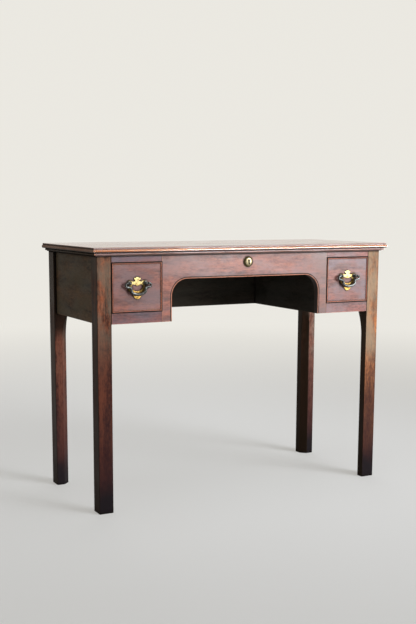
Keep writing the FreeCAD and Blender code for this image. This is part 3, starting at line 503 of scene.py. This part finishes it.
# A dark line of dirt, with painted shade at the drawers and in the quirks, is full up to one distance from its
# middle and ends at another
drawerSeam = {
    "centre": (beadBox[0] + beadBox[1]) / 2, "half": (beadBox[1] - beadBox[0]) / 2, "gap": 0.0016,
    "full": 0.0012, "end": 0.003, "share": 0.96,
}
railJoint = {
    "planes": (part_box("front_right_leg")[0].x, friezeBox[1].x), "full": 0.0006, "end": 0.0022, "share": 0.9,
}
kneehole = {
    "half": -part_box("left_kneehole_board")[1].x,
    "top": friezeBox[0].z + 0.1216,
    "corner": 0.05,
    "quirk": 0.004,             # from the edge of the arch to the fine groove around it
    "quirkRadius": 0.0008, "quirkDirtAndShade": {"full": 0.0009, "end": 0.0022, "share": 0.92},
    "rim": 0.0028,              # where the rim, rubbed and with a painted highlight, starts to fade
    "edge": 0.75, "edgeColour": (0.504, 0.162, 0.072),
    "grey": (0.16, 0.3), "greyed": 0.5, "greyColour": (0.146, 0.106, 0.096),
    "soffit": (friezeBox[0].y + 0.001, friezeBox[0].y + 0.0026), "soffitReach": (0.002, 0.0008),
    "soffitShare": 0.95,
}
low, high = topBox[0].z, topBox[1].z
edgeBands = {                    # heights between which each band of the moulded edge comes in
    "brow": (high - 0.0004, high - 0.0012),
    "fillet": (low + 0.0099, low + 0.0107), "filletShare": 0.75, "filletColour": (0.144, 0.084, 0.084),
    # the nose band is partly rubbed and partly a painted lit band; under is painted shade on the nose's lower half
    "nose": (low + 0.0022, low + 0.0038), "noseShare": 0.88, "noseColour": (0.48, 0.126, 0.012),
    "under": (low + 0.0034, low + 0.0022), "underShare": 0.85,
    "planted": (low, low - 0.0004),
    "foot": (low - 0.0058, low - 0.0064), "footColour": (0.228, 0.12, 0.098),
    # quirk: a dark line of dirt and painted shadow under the moulding
    "quirk": low - 0.0064, "quirkDirtAndShade": {"full": 0.0004, "end": 0.001, "share": 0.7},
    "rough": 0.3,
}
topShadedEnd = {                     # painted shade on the end of the top away from the light
    "colour": (0.024, 0.016, 0.007),
    "face": (topBox[0].x + 0.004, topBox[0].x + 0.0032),
    "brow": (high - 0.0004, high - 0.0016),
    "share": 0.8, "rough": 0.4,
}


def outlineDistance(tree, split, centre, half, corner=0.0):
    # How far a point of the front is from the outline of an upright box with round corners, minus inside it
    offsets = []
    for axis in (0, 2):
        offset = unsigned(tree, split[axis]) if axis == 0 else split[axis]
        offset = unsigned(tree, minus(tree, offset, centre[axis]))
        offsets.append(minus(tree, offset, half[axis] - corner))
    outer = [maths(tree, "POWER", most(tree, offset, 0.0), 2.0) for offset in offsets]
    outside = maths(tree, "SQRT", plus(tree, *outer))
    inside = maths(tree, "MINIMUM", most(tree, *offsets), 0.0)
    return minus(tree, plus(tree, outside, inside), corner)


def dirtAndShadeLine(tree, dirtAndShade, away, look):
    dirt = remap(tree, unsigned(tree, away), look["end"], look["full"], 0.0, look["share"])
    return most(tree, dirtAndShade, dirt)


def flankShade(tree, name, split):
    # Painted shade on the faces of a leg turned away from the light, and under the frame on the rear left leg
    low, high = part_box(name)
    inward = minus(tree, split[0], low.x)
    if name.endswith("left_leg"):
        outer = remap(tree, inward, *legFlankShade["face"], 0.0, legFlankShade["outer"])
        if name.startswith("front"):
            return outer
        hood = remap(tree, split[2], *legFlankShade["hood"], 0.0, legFlankShade["hoodShare"])
        return most(tree, outer, hood)
    turned = minus(tree, *((high.y, split[1]) if name.startswith("front") else (split[1], low.y)))
    flat = remap(tree, inward, *legFlankShade["face"], 0.0, legFlankShade["inner"])
    cut = remap(tree, plus(tree, inward, turned), *legFlankShade["chamfer"], 0.0, legFlankShade["inner"])
    return most(tree, flat, cut)


def legShadeAndGrime(tree, name, look, split, along, colour, rough):
    # Redder and darker down the leg, partly older polish and partly painted shade where less light reaches, with a
    # filthy foot and painted shade on the flanks
    shade = 0.0
    for low, high, amount in look["shades"]:
        shade = plus(tree, remap(tree, split[2], low, high, amount, 0.0), shade)
    colour = blendColour(tree, shade, colour, look["deep"])
    ragged = sway(tree, noise(tree, along, *footGrime["ragged"]), footGrime["raggedness"], split[2])
    grime = remap(tree, ragged, *footGrime["height"])
    rough = timesPlus(tree, grime, footGrime["rough"], rough)
    grime = times(tree, grime, footGrime["share"])
    colour = blendColour(tree, grime, colour, footGrime["colour"])
    return blendColour(tree, flankShade(tree, name, split), colour, legFlankShade["colour"]), rough


def kneeholeRim(tree, look, split, ragging, colour, dirtAndShade):
    # Rim of the arch, rubbed and with a painted highlight, inside its quirk of dirt and painted shade; painted
    # shade on the arch's inner face, and greyer wood to the right
    away = outlineDistance(tree, split, (0, 0, 0), (look["half"], 0, look["top"]), look["corner"])
    rim = remap(tree, away, look["quirk"], look["rim"], 0.0, look["edge"])
    colour = blendColour(tree, rim, colour, look["edgeColour"])
    turned = remap(tree, split[0], *look["grey"], 0.0, look["greyed"])
    colour = blendColour(tree, turned, colour, look["greyColour"])
    # Painted shade on the arch's inner face near the front
    soffit = remap(tree, away, *look["soffitReach"], 0.0, look["soffitShare"])
    soffit = times(tree, remap(tree, split[1], *look["soffit"]), soffit)
    dirtAndShade = most(tree, dirtAndShade, soffit)
    away = unsigned(tree, minus(tree, away, look["quirk"]))
    return colour, dirtAndShadeLine(tree, dirtAndShade, plus(tree, away, ragging), look["quirkDirtAndShade"])


def mouldedEdge(tree, look, split, ragging, colour, dirtAndShade):
    # Dull fillet over a nose banded orange, partly rubbed and partly a painted lit band, with painted shade under
    # it and dirt and painted shade in the quirk below
    level = plus(tree, split[2], ragging)
    fillet = remap(tree, level, *look["fillet"])
    brow = remap(tree, level, *look["brow"])
    share = times(tree, fillet, times(tree, brow, look["filletShare"]))
    colour = blendColour(tree, share, colour, look["filletColour"])
    nose = remap(tree, level, *look["nose"], 0.0, look["noseShare"])
    nose = times(tree, nose, flip(tree, fillet))
    colour = blendColour(tree, nose, colour, look["noseColour"])
    foot = remap(tree, split[2], *look["foot"])
    colour = blendColour(tree, foot, colour, look["footColour"])
    under = remap(tree, level, *look["under"], 0.0, look["underShare"])
    under = times(tree, under, flip(tree, remap(tree, split[2], *look["planted"])))
    dirtAndShade = most(tree, dirtAndShade, under)
    dirtAndShade = dirtAndShadeLine(tree, dirtAndShade, minus(tree, split[2], look["quirk"]), look["quirkDirtAndShade"])
    return colour, dirtAndShade, most(tree, times(tree, fillet, brow), foot)


def woodMaterial(name, kind, axis, seed):
    look = woods[kind]
    material, tree, place = newMaterial(name)
    split = node(tree, "SeparateXYZ", {0: place}).outputs
    shift = tuple(seed * step for step in finish["shift"])
    along = mapping(tree, place, Rotation=grainTurn[axis], Location=shift)
    fading = look["fading"]
    # Faded grey only high up the legs, partly a painted sheen
    if kind in legKinds:
        fading = remap(tree, split[2], look["fadeFrom"], look["fadeTo"], footGrime["leastFading"], fading)
    labels = ("dark", "light", "faded", "stripe", "fibre", "cloud", "pores")
    figure = {label.title(): look[label] for label in labels}
    figure = useGroup(tree, "figure", {"Vector": along, "Fading": fading, **figure})
    wearAndShade = useGroup(tree, "wearAndShade", {
        "Position": along, "Rub": look["rub"], "DirtAndShadeShare": look["grime"],
        "Convex": occlusion(tree, look["edgeReach"], inside=True, only_local=True),
        "Open": occlusion(tree, finish["cornerReach"]),
        "Tight": occlusion(tree, finish["creviceReach"], 8)})
    age = useGroup(tree, "age", {
        "Position": along, "Stains": look["stains"], "Scratches": finish["scratches"]})
    colour = blendColour(tree, wearAndShade["Rubbed"], figure["Color"], look["rubbedColour"])
    colour = blendColour(tree, age["Stain"], colour, look["dark"])
    scratch = times(tree, age["Scratch"], finish["scratchTint"])
    colour = blendColour(tree, scratch, colour, look["rubbedColour"])
    span = [look["rough"] + more for more in finish["roughSpan"]]
    rough = remap(tree, figure["Shine"], *finish["cloudy"], *span)
    rough = timesPlus(tree, age["Stain"], finish["stainRough"], rough)
    if kind in legKinds:
        colour, rough = legShadeAndGrime(tree, name, look, split, along, colour, rough)
    dirtAndShade = wearAndShade["DirtAndShade"]
    ragging = sway(tree, noise(tree, along, *finish["ragged"]), finish["raggedness"])
    if kind in frontKinds or kind in legKinds:
        # Dark line around the drawer openings: dirt, and painted shadow in the gaps
        half = drawerSeam["half"] + Vector((1, 0, 1)) * drawerSeam["gap"] / 2
        away = unsigned(tree, outlineDistance(tree, split, drawerSeam["centre"], half))
        dirtAndShade = dirtAndShadeLine(tree, dirtAndShade, plus(tree, away, ragging), drawerSeam)
    if kind in ("rail", "litRail"):
        across = unsigned(tree, split[0])
        for plane in railJoint["planes"]:
            dirtAndShade = dirtAndShadeLine(tree, dirtAndShade, minus(tree, across, plane), railJoint)
    if name == "frieze_board":
        colour, dirtAndShade = kneeholeRim(tree, kneehole, split, ragging, colour, dirtAndShade)
    matt = dirtAndShade
    if kind in ("top", "moulding"):
        colour, dirtAndShade, dull = mouldedEdge(tree, edgeBands, split, ragging, colour, dirtAndShade)
        matt = most(tree, dirtAndShade, dull)
        rough = timesPlus(tree, dull, edgeBands["rough"], rough)
    colour = blendColour(tree, dirtAndShade, colour, finish["grime"])
    rough = timesPlus(tree, dirtAndShade, finish["grimeRough"], rough)
    marks = times(tree, age["Dent"], finish["dentDepth"])
    marks = plus(tree, times(tree, age["Scratch"], finish["scratchDepth"]), marks)
    height = minus(tree, times(tree, figure["Height"], finish["rise"]), marks)
    coat = look["coat"]
    if coat:
        coat = times(tree, flip(tree, matt), coat, clamp=True)
    if kind == "top":
        # Painted shade on the end of the top away from the light, kept dull
        dull = remap(tree, split[0], *topShadedEnd["face"])
        dull = times(tree, dull, remap(tree, split[2], *topShadedEnd["brow"]))
        share = times(tree, dull, topShadedEnd["share"])
        colour = blendColour(tree, share, colour, topShadedEnd["colour"])
        rough = timesPlus(tree, dull, topShadedEnd["rough"], rough)
        coat = times(tree, flip(tree, dull), coat)
    closeMaterial(tree, finish, height, {
        "Base Color": colour, "Roughness": rough, "Coat Weight": coat, "Specular IOR Level": look["shine"]})
    return material


def pair(*parts):
    # Names of both sides' pieces, left before right
    return [side + "_" + part for part in parts for side in ("left", "right")]


woodPieces = [
    ("leg", "z", ["front_left_leg"]),
    ("shadedRedLeg", "z", ["rear_left_leg"]),
    ("litLeg", "z", ["front_right_leg"]),
    ("shadedLeg", "z", ["rear_right_leg"]),
    ("front", "x", ["frieze_board"]),
    ("shadedFront", "x", ["left_drawer_front"]),
    ("sheenFront", "x", ["right_drawer_front"]),
    ("rail", "x", ["left_top_rail", "left_bottom_rail"]),
    ("litRail", "x", ["right_top_rail", "right_bottom_rail"]),
    ("bead", "x", pair("cockbead")),
    ("moulding", "x", ["front_moulding"]),
    ("moulding", "y", ["right_moulding"]),
    ("shadedMoulding", "y", ["left_moulding"]),
    ("top", "x", ["top_board"]),
    ("side", "y", pair("side_panel")),
    ("inner", "x", ["back_panel", "well_floor"] + pair("dust_board")),
    ("inner", "y", pair("kneehole_board")),
    ("lining", "y", pair("outer_runner", "inner_runner", "outer_drawer_side", "inner_drawer_side")),
    ("lining", "y", pair("drawer_bottom") + ["drawer_stops"]),
    ("lining", "x", pair("drawer_back") + ["glue_blocks"]),
]
woodNames = [(name, kind, axis) for kind, axis, names in woodPieces for name in names]
for seed, (name, kind, axis) in enumerate(woodNames, 1):
    nodes[name].material_slots[0].material = woodMaterial(name, kind, axis, seed)
print("wood dressed")

# Metal

pivots = {joint["name"]: Vector(joint.get("pos_m", (0, 0, 0))) for joint in frame["joints"]}
metals = {
    "plateBrass": dict(
        bright=(0.46, 0.365, 0.16), brown=(0.1, 0.062, 0.02), green=(0.05, 0.05, 0.024), tarnish=0.26,
        gold=(0.44, 0.27, 0.075), tail=0.2, tailRise=(0.004, -0.016), wing=0.55, wingReach=(0.013, 0.022),
        dull=0.16),
    "brightBrass": dict(
        bright=(0.7, 0.5, 0.2), brown=(0.2, 0.125, 0.04), green=(0.13, 0.12, 0.06), tarnish=0.36),
    "darkBrass": dict(
        bright=(0.19, 0.21, 0.2), brown=(0.017, 0.016, 0.014), green=(0.026, 0.033, 0.031), tarnish=0.7,
        coat=1.0),
    "keyBrass": dict(
        bright=(0.37, 0.31, 0.19), brown=(0.06, 0.045, 0.02), green=(0.04, 0.04, 0.026), tarnish=0.28,
        rubbed=(-0.1998, -0.1975), leastRubbed=0.25, dull=0.1),
    "iron": dict(
        bright=(0.16, 0.15, 0.14), brown=(0.1, 0.055, 0.03), green=(0.06, 0.05, 0.045), tarnish=0.5),
}
metalFinish = {"cornerReach": 0.007, "bump": 0.25, "bumpDistance": 0.0003, "coatRough": 0.14}


def metalMaterial(name, kind, centre=None):
    look = metals[kind]
    material, tree, place = newMaterial(name)
    opened = occlusion(tree, metalFinish["cornerReach"])
    bright, tarnish = look["bright"], look["tarnish"]
    if "rubbed" in look:
        # Only the face that fingers and keys reach stays bright
        forward = node(tree, "SeparateXYZ", {0: place}).outputs[1]
        reached = remap(tree, forward, *look["rubbed"], 1.0, look["leastRubbed"])
        opened = times(tree, opened, reached)
    if centre is not None:
        # Pale at the crown, golden lower down and dull out on the wings behind the posts: tarnish, with a painted
        # highlight on the crown and painted shade under the bail and behind the posts
        across, _, up = node(tree, "SeparateXYZ", {0: mapping(tree, place, Location=-centre)}).outputs
        lower = remap(tree, up, *look["tailRise"])
        bright = blendColour(tree, lower, look["bright"], look["gold"])
        wings = remap(tree, unsigned(tree, across), *look["wingReach"], 0.0, look["wing"])
        tarnish = plus(tree, timesPlus(tree, lower, look["tail"], look["tarnish"]), wings)
    aged = useGroup(tree, "brass", {
        "Position": place, "Open": opened, "Bright": bright, "Brown": look["brown"], "Green": look["green"],
        "Tarnish": tarnish})
    rough = plus(tree, aged["Roughness"], look.get("dull", 0.0))
    closeMaterial(tree, metalFinish, aged["Height"], {
        "Base Color": aged["Color"], "Roughness": rough, "Metallic": 1.0,
        "Coat Weight": look.get("coat", 0.0)})
    return material


metalPieces = {
    "brightBrass": ["lock_case", "link_plate", "lower_hinge_leaves", "upper_hinge_leaves"],
    "darkBrass": pair("handle_posts", "handle_nuts"),
    "iron": [
        "hinge_pins", "lower_hinge_screws", "upper_hinge_screws", "lock_screws", "link_plate_screws",
        "lock_bolt"],
}
metalCoats = {kind: metalMaterial(kind, kind) for kind in metals if kind != "plateBrass"}
for side in ("left", "right"):
    centre = pivots[side + "_bail_swing"]
    metalCoats[side + "Plate"] = metalMaterial(side + "PlateBrass", "plateBrass", centre)
for kind, names in metalPieces.items():
    for name in names:
        nodes[name].material_slots[0].material = metalCoats[kind]
print("metal dressed")

# Worn boards, handles and the lock plate, as finer pieces

bodyOf = {name: body for body, members in frame["record"]["behaviour"]["bodies"].items() for name in members}


def shadeEdges(piece, sharp, flatWidth=0.0025):
    # Round surfaces shade smoothly, and faces wider than flatWidth keep their own flat shade
    bm = bmesh.new()
    bm.from_mesh(piece.data)
    for face in bm.faces:
        face.smooth = True
    for edge in bm.edges:
        wide = any(2 * face.calc_area() > flatWidth * face.calc_perimeter() for face in edge.link_faces)
        edge.smooth = edge.calc_face_angle(math.pi) < math.radians(sharp) and not wide
    bm.to_mesh(piece.data)
    bm.free()


def finishPiece(name, bm, material, body, sharp=35.0):
    piece = looseObject(name, bm)
    piece.data.materials.append(material)
    shadeEdges(piece, sharp)
    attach(piece, body)
    return piece


def cutAway(piece, cutter, sharp=35.0):
    # Takes the cutter out of the piece, then throws the cutter away
    cut = piece.modifiers.new("cut", "BOOLEAN")
    cut.operation = "DIFFERENCE"
    cut.solver = "EXACT"
    cut.object = cutter
    bpy.context.view_layer.update()
    seen = piece.evaluated_get(bpy.context.evaluated_depsgraph_get())
    mesh = bpy.data.meshes.new_from_object(seen)
    piece.modifiers.clear()
    old = piece.data
    piece.data = mesh
    mesh.name = old.name
    bpy.data.meshes.remove(old)
    bpy.data.objects.remove(cutter)
    shadeEdges(piece, sharp)


def mergedCopy(name, within=2e-6, flat=0.4):
    # One node's triangles with shared corners and whole flat faces
    bm = bmesh.new()
    bm.from_mesh(nodes[name].data)
    bmesh.ops.remove_doubles(bm, verts=bm.verts, dist=within)
    bmesh.ops.dissolve_limit(bm, angle_limit=math.radians(flat), verts=bm.verts, edges=bm.edges)
    return bm


def walkLine(start, heading, moves, look):
    # Points and headings in the plane of the front. Each move is a radius and the degrees turned,
    # or a length and no turn
    x, z = start
    line = [(x, z, heading)]
    for radius, degrees in moves:
        steps = max(look["runRings"], round(abs(degrees) / look["degreesPerRing"]))
        for _ in range(steps):
            if degrees:
                chord = 2 * radius * math.sin(math.radians(abs(degrees)) / steps / 2)
            else:
                chord = radius / steps
            heading += degrees / steps / 2
            x += chord * math.cos(math.radians(heading))
            z += chord * math.sin(math.radians(heading))
            heading += degrees / steps / 2
            line.append((x, z, heading))
    return line


def ringAt(place, heading, radius):
    turned = Matrix.Rotation(-math.radians(heading), 4, "Y") @ Matrix.Rotation(math.pi / 2, 4, "Y")
    return Matrix.Translation(place) @ turned @ Matrix.Scale(radius, 4)


def pullRing(bm, stations, segments):
    # A round bar: a ring pulled from station to station, each a matrix that places a unit circle
    bmesh.ops.create_circle(bm, cap_ends=True, segments=segments, radius=1.0)
    bmesh.ops.transform(bm, matrix=stations[0], verts=bm.verts[:])
    ring = bm.edges[:]
    for before, after in zip(stations, stations[1:]):
        pulled = bmesh.ops.extrude_edge_only(bm, edges=ring)["geom"]
        corners = [part for part in pulled if isinstance(part, bmesh.types.BMVert)]
        bmesh.ops.transform(bm, matrix=after @ before.inverted(), verts=corners)
        ring = [part for part in pulled if isinstance(part, bmesh.types.BMEdge)
                and all(vert in corners for vert in part.verts)]
    bmesh.ops.contextual_create(bm, geom=ring)
    bmesh.ops.recalc_face_normals(bm, faces=bm.faces[:])


# Nicks are scoops along lines between two places in a board's box, given as shares of its sides
uprights = [((x, y, 0.04), (x, y, 0.93)) for x in (0, 1) for y in (0, 1)]
footEdges = [((0.1, y, 0), (0.9, y, 0)) for y in (0, 1)] + [((x, 0.1, 0), (x, 0.9, 0)) for x in (0, 1)]
topEdges = ([((0.01, 0, z), (0.99, 0, z)) for z in (0.12, 0.62)]
            + [((x, 0.02, z), (x, 0.98, z)) for x in (0, 1) for z in (0.12, 0.62)]
            + [((0.01, 1, 1), (0.99, 1, 1))])
beadEdges = [((0.02, 0, 0.3), (0.98, 0, 0.3))]
frontLeg = dict(slot="leg_wood", scoop=(0.0045, 0.0017), lines=[(uprights, 5), (footEdges, 3)])
rearLeg = dict(frontLeg, lines=[(uprights, 4), (footEdges, 3)])
nickedBoards = {                 # a scoop's half length and depth, then how many there are on each line
    "front_left_leg": frontLeg, "front_right_leg": frontLeg,
    "rear_left_leg": rearLeg, "rear_right_leg": rearLeg,
    "left_bottom_rail": dict(
        slot="front_wood", scoop=(0.005, 0.0016),
        lines=[([((0.12, 0, 0), (0.17, 0, 0))], 1), ([((0.3, 0, 0), (1, 0, 0))], 4)]),
    "right_bottom_rail": dict(
        slot="front_wood", scoop=(0.0045, 0.0015), lines=[([((0, 0, 0), (0.85, 0, 0))], 4)]),
    "frieze_board": dict(
        slot="front_wood", scoop=(0.005, 0.0016),
        lines=[([((0, 0, 0), (0.055, 0, 0))], 2), ([((0.945, 0, 0), (1, 0, 0))], 1),
               ([((0.15, 0, 0.608), (0.85, 0, 0.608))], 7)]),
    "top_board": dict(slot="top_wood", scoop=(0.0055, 0.0013), lines=[(topEdges, 9)]),
    "front_moulding": dict(
        slot="bead_wood", scoop=(0.0055, 0.0021),
        lines=[(beadEdges, 6), ([((0.505, 0, 0.35), (0.512, 0, 0.35))], 1)]),
}
nicks = {
    "seed": 100,
    "first": 0.25,               # shares of the space between nicks, kept free and left to chance
    "spread": 0.5, "tilt": 0.25, "grow": (0.45, 1.1), "stretch": (0.7, 1.5),
}
quirkBar = {"runRings": 1, "degreesPerRing": 6.0, "ringSegments": 8, "below": 0.004}


def quirkCutter(look):
    # A thin round bar bent along the rim of the kneehole
    reach = kneehole["half"] + kneehole["quirk"]
    low, face = friezeBox[0].z - look["below"], friezeBox[0].y
    upright = kneehole["top"] - kneehole["corner"] - low
    bend = (kneehole["corner"] + kneehole["quirk"], -90)
    moves = [(upright, 0), bend, (2 * (reach - bend[0]), 0), bend, (upright, 0)]
    bm = bmesh.new()
    pullRing(bm, [ringAt((x, face, z), heading, kneehole["quirkRadius"])
                  for x, z, heading in walkLine((-reach, low), 90.0, moves, look)], look["ringSegments"])
    return looseObject("quirkBar", bm)


def nickedBoard(name, look, seed):
    low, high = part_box(name)
    size = high - low
    dice = random.Random(seed)
    long, deep = look["scoop"]
    cutter = bmesh.new()
    for lines, count in look["lines"]:
        for start, end in lines:
            for step in range(count):
                share = (step + nicks["first"] + nicks["spread"] * dice.random()) / count
                spot = Vector([a + (b - a) * share for a, b in zip(start, end)])
                spot = Vector([low[i] + size[i] * spot[i] for i in range(3)])
                along = Vector([(b - a) * size[i] for i, (a, b) in enumerate(zip(start, end))])
                turn = along.to_track_quat("X", "Z").to_matrix().to_4x4()
                tilt = Matrix.Rotation(dice.uniform(-nicks["tilt"], nicks["tilt"]), 4, "Y")
                grow = dice.uniform(*nicks["grow"])
                stretch = dice.uniform(*nicks["stretch"])
                shape = Matrix.Diagonal((long * grow * stretch, deep * grow, deep * grow, 1))
                place = Matrix.Translation(spot) @ turn @ tilt @ shape
                bmesh.ops.create_icosphere(cutter, subdivisions=2, radius=1.0, matrix=place)
    material = nodes[name].material_slots[0].material
    piece = finishPiece(name + "Worn", mergedCopy(name), material, bodyOf[name])
    cutAway(piece, looseObject("nicks", cutter))
    if name == "frieze_board":
        cutAway(piece, quirkCutter(quirkBar))
    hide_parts(name)
    return piece


worn = {name: nickedBoard(name, look, nicks["seed"] + number)
        for number, (name, look) in enumerate(nickedBoards.items())}
print("arrises worn")

backplate = {"chamfer": 0.0007, "segments": 3, "sharp": 28, "level": 1e-5, "rimAngle": 1.0}


def handlePlate(side, look):
    name = side + "_handle_plate"
    bm = mergedCopy(name)
    face = min(vert.co.y for vert in bm.verts)
    rim = [edge for edge in bm.edges if edge.calc_face_angle(0) > look["rimAngle"]
           and all(abs(vert.co.y - face) < look["level"] for vert in edge.verts)]
    bmesh.ops.bevel(bm, geom=rim, offset=look["chamfer"], offset_type="OFFSET", affect="EDGES",
                    segments=look["segments"], profile=0.5, material=-1, clamp_overlap=True)
    brass = metalCoats[side + "Plate"]
    piece = finishPiece(side + "Backplate", bm, brass, side + "_drawer", look["sharp"])
    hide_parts(name)


swanBail = {
    "postSpacing": 0.05, "headRadius": 0.0046,
    "pinDepth": 0.005,            # pin inside the post head
    "pinRadius": 0.002, "pinTaper": 0.8, "pinChamfer": 0.0004,
    "collarGap": 0.0006, "collarRadius": 0.0036, "collarTaper": 0.9, "collarChamfer": 0.0003,
    "flareRings": 3,              # rings over which the neck swells into the collar
    "neckRadius": 0.003, "bowRadius": 0.0041,
    "shoulderRun": 0.0035, "shoulderBend": 0.005, "swanBend": 0.005,
    "fall": 12.0,                 # degrees below level on the way in
    "bowHalfWidth": 0.022, "sideRun": 0.0025, "sideBend": 0.009, "sideTurn": 60.0,
    "ringSegments": 20, "degreesPerRing": 7.5, "runRings": 3, "sharp": 50,
}


def bailLine(look):
    # Middle of the bail, from its left shoulder to its right one
    shoulder = look["postSpacing"] / 2 + look["headRadius"] + look["collarGap"]
    fall, turn = math.radians(look["fall"]), math.radians(look["sideTurn"])
    neck = (shoulder + look["shoulderRun"] - look["bowHalfWidth"] + look["shoulderBend"] * math.sin(fall)
            - look["swanBend"] * (1 - math.sin(fall))) / math.cos(fall)
    bow = (look["bowHalfWidth"] - look["sideBend"] * (1 - math.cos(turn))) / math.cos(turn)
    half = [(look["shoulderRun"], 0), (look["shoulderBend"], 180 - look["fall"]), (neck, 0),
            (look["swanBend"], look["fall"] - 90), (look["sideRun"], 0), (look["sideBend"], look["sideTurn"])]
    moves = half + [(bow, 180 - 2 * look["sideTurn"])] + half[::-1]
    return walkLine((-shoulder, 0.0), 180.0, moves, look)


def bail(side, look):
    pivot = pivots[side + "_bail_swing"]

    def station(x, z, heading, radius):
        return ringAt(pivot + Vector((x, 0, z)), heading, radius)

    line = bailLine(look)
    total = len(line) - 1
    tip = -(look["postSpacing"] / 2 + look["headRadius"] - look["pinDepth"])
    shoulder = line[0][0]
    pin, collar = look["pinRadius"], look["collarRadius"]
    inside = shoulder + look["collarChamfer"]
    ends = [(tip, pin * look["pinTaper"]), (tip - look["pinChamfer"], pin), (inside, pin),
            (inside, collar * look["collarTaper"])]
    stations = [station(x, 0, 180, radius) for x, radius in ends + [(shoulder, collar)]]
    for index, (x, z, heading) in enumerate(line):
        along = math.sin(math.pi * index / total)
        radius = look["neckRadius"] + (look["bowRadius"] - look["neckRadius"]) * along ** 2
        nearEnd = min(index, total - index)
        if nearEnd < look["flareRings"]:
            radius += (collar - radius) * (1 - nearEnd / look["flareRings"]) ** 2
        stations.append(station(x, z, heading, radius))
    stations += [station(-x, 0, 180, radius) for x, radius in ends[::-1]]
    bm = bmesh.new()
    pullRing(bm, stations, look["ringSegments"])
    brass = metalCoats["darkBrass"]
    piece = finishPiece(side + "SwanBail", bm, brass, side + "_bail_handle", look["sharp"])
    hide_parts(side + "_bail")


def turnProfile(bm, profile, centre, steps):
    # Pairs of radius and reach, turned about the line that runs forward through the centre
    corners = [bm.verts.new(centre + Vector((radius, -reach, 0))) for radius, reach in profile]
    edges = [bm.edges.new(ends) for ends in zip(corners, corners[1:])]
    bmesh.ops.spin(bm, geom=corners + edges, cent=centre, axis=(0, 1, 0), dvec=(0, 0, 0),
                   angle=2 * math.pi, steps=steps, use_merge=True, use_duplicate=False)
    bmesh.ops.remove_doubles(bm, verts=bm.verts, dist=1e-6)
    bmesh.ops.recalc_face_normals(bm, faces=bm.faces[:])


keyPlate = {
    "flange": 0.0155, "flangeThickness": 0.0018, "flangeChamfer": 0.0006,
    "flangeEdge": 0.6,            # share of the thickness below the chamfer
    "boss": 0.012, "bossFoot": 0.0005, "bossFillet": 0.0004, "bossWall": 0.0042,
    "reach": 0.0065, "domeSteps": 7, "domeFullness": 0.8, "steps": 72, "sharp": 30,
    "holeRadius": 0.0037, "holeRise": 0.0042, "slotWidth": 0.0054, "slotLength": 0.0155, "cutDepth": 0.03,
}
keyPins = {
    "offset": 0.0136, "radius": 0.0011, "head": 0.0005, "length": 0.009, "taper": 0.0008,
    "shank": 0.7,                 # these three are shares of the head's radius
    "shoulder": 0.85, "crown": 0.4, "sunk": 0.0001, "dome": 0.00005, "steps": 20, "sharp": 40,
}


def keyholePlate(look, pins):
    low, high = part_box("escutcheon")
    centre = Vector(((low.x + high.x) / 2, high.y, (low.z + high.z) / 2))
    thick, boss = look["flangeThickness"], look["boss"]
    dome = look["reach"] - look["bossWall"]
    profile = [(0, 0), (look["flange"], 0), (look["flange"], thick * look["flangeEdge"]),
               (look["flange"] - look["flangeChamfer"], thick), (boss + look["bossFoot"], thick),
               (boss, thick + look["bossFillet"])]
    for step in range(look["domeSteps"] + 1):
        angle = math.pi / 2 * step / look["domeSteps"]
        around = boss * math.cos(angle) ** look["domeFullness"]
        profile.append((around, look["bossWall"] + dome * math.sin(angle)))
    profile[-1] = (0, look["reach"])
    bm = bmesh.new()
    turnProfile(bm, profile, centre, look["steps"])
    brass = metalCoats["keyBrass"]
    piece = finishPiece("keyholePlate", bm, brass, bodyOf["escutcheon"], look["sharp"])
    upper = centre + Vector((0, 0, look["holeRise"]))
    cutter = bmesh.new()
    hole, place = look["holeRadius"], Matrix.Translation(upper) @ Matrix.Rotation(math.pi / 2, 4, "X")
    bmesh.ops.create_cone(cutter, cap_ends=True, segments=32, radius1=hole, radius2=hole,
                          depth=look["cutDepth"], matrix=place)
    cutAway(piece, looseObject("keyRound", cutter))
    cutter = bmesh.new()
    slotHeight = look["slotLength"] - hole
    slotMiddle = upper - Vector((0, 0, slotHeight / 2))
    shape = Matrix.Diagonal((look["slotWidth"], look["cutDepth"], slotHeight, 1))
    bmesh.ops.create_cube(cutter, size=1.0, matrix=Matrix.Translation(slotMiddle) @ shape)
    cutAway(piece, looseObject("keySlot", cutter))
    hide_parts("escutcheon")
    radius, crown, seat = pins["radius"], thick + pins["head"], thick - pins["sunk"]
    tip = thick - pins["length"]
    profile = [(0, tip), (radius * pins["shank"], tip + pins["taper"]), (radius * pins["shank"], seat),
               (radius, seat), (radius * pins["shoulder"], crown - pins["sunk"]),
               (radius * pins["crown"], crown), (0, crown + pins["dome"])]
    bm = bmesh.new()
    for sign in (-1, 1):
        turnProfile(bm, profile, centre + Vector((sign * pins["offset"], 0, 0)), pins["steps"])
    name = "escutcheon_pins"
    piece = finishPiece("keyholePlatePins", bm, brass, bodyOf[name], pins["sharp"])
    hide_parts(name)


for side in ("left", "right"):
    handlePlate(side, backplate)
    bail(side, swanBail)
keyholePlate(keyPlate, keyPins)
print("handles and lock plate made")

for name, state in lampsOfTop.items():
    reached = bpy.data.collections.new(name + "Reach")
    reached.objects.link(worn["top_board"])
    reached.collection_objects[0].light_linking.link_state = state
    bpy.data.objects[name].light_linking.receiver_collection = reached
print("top lamps set")
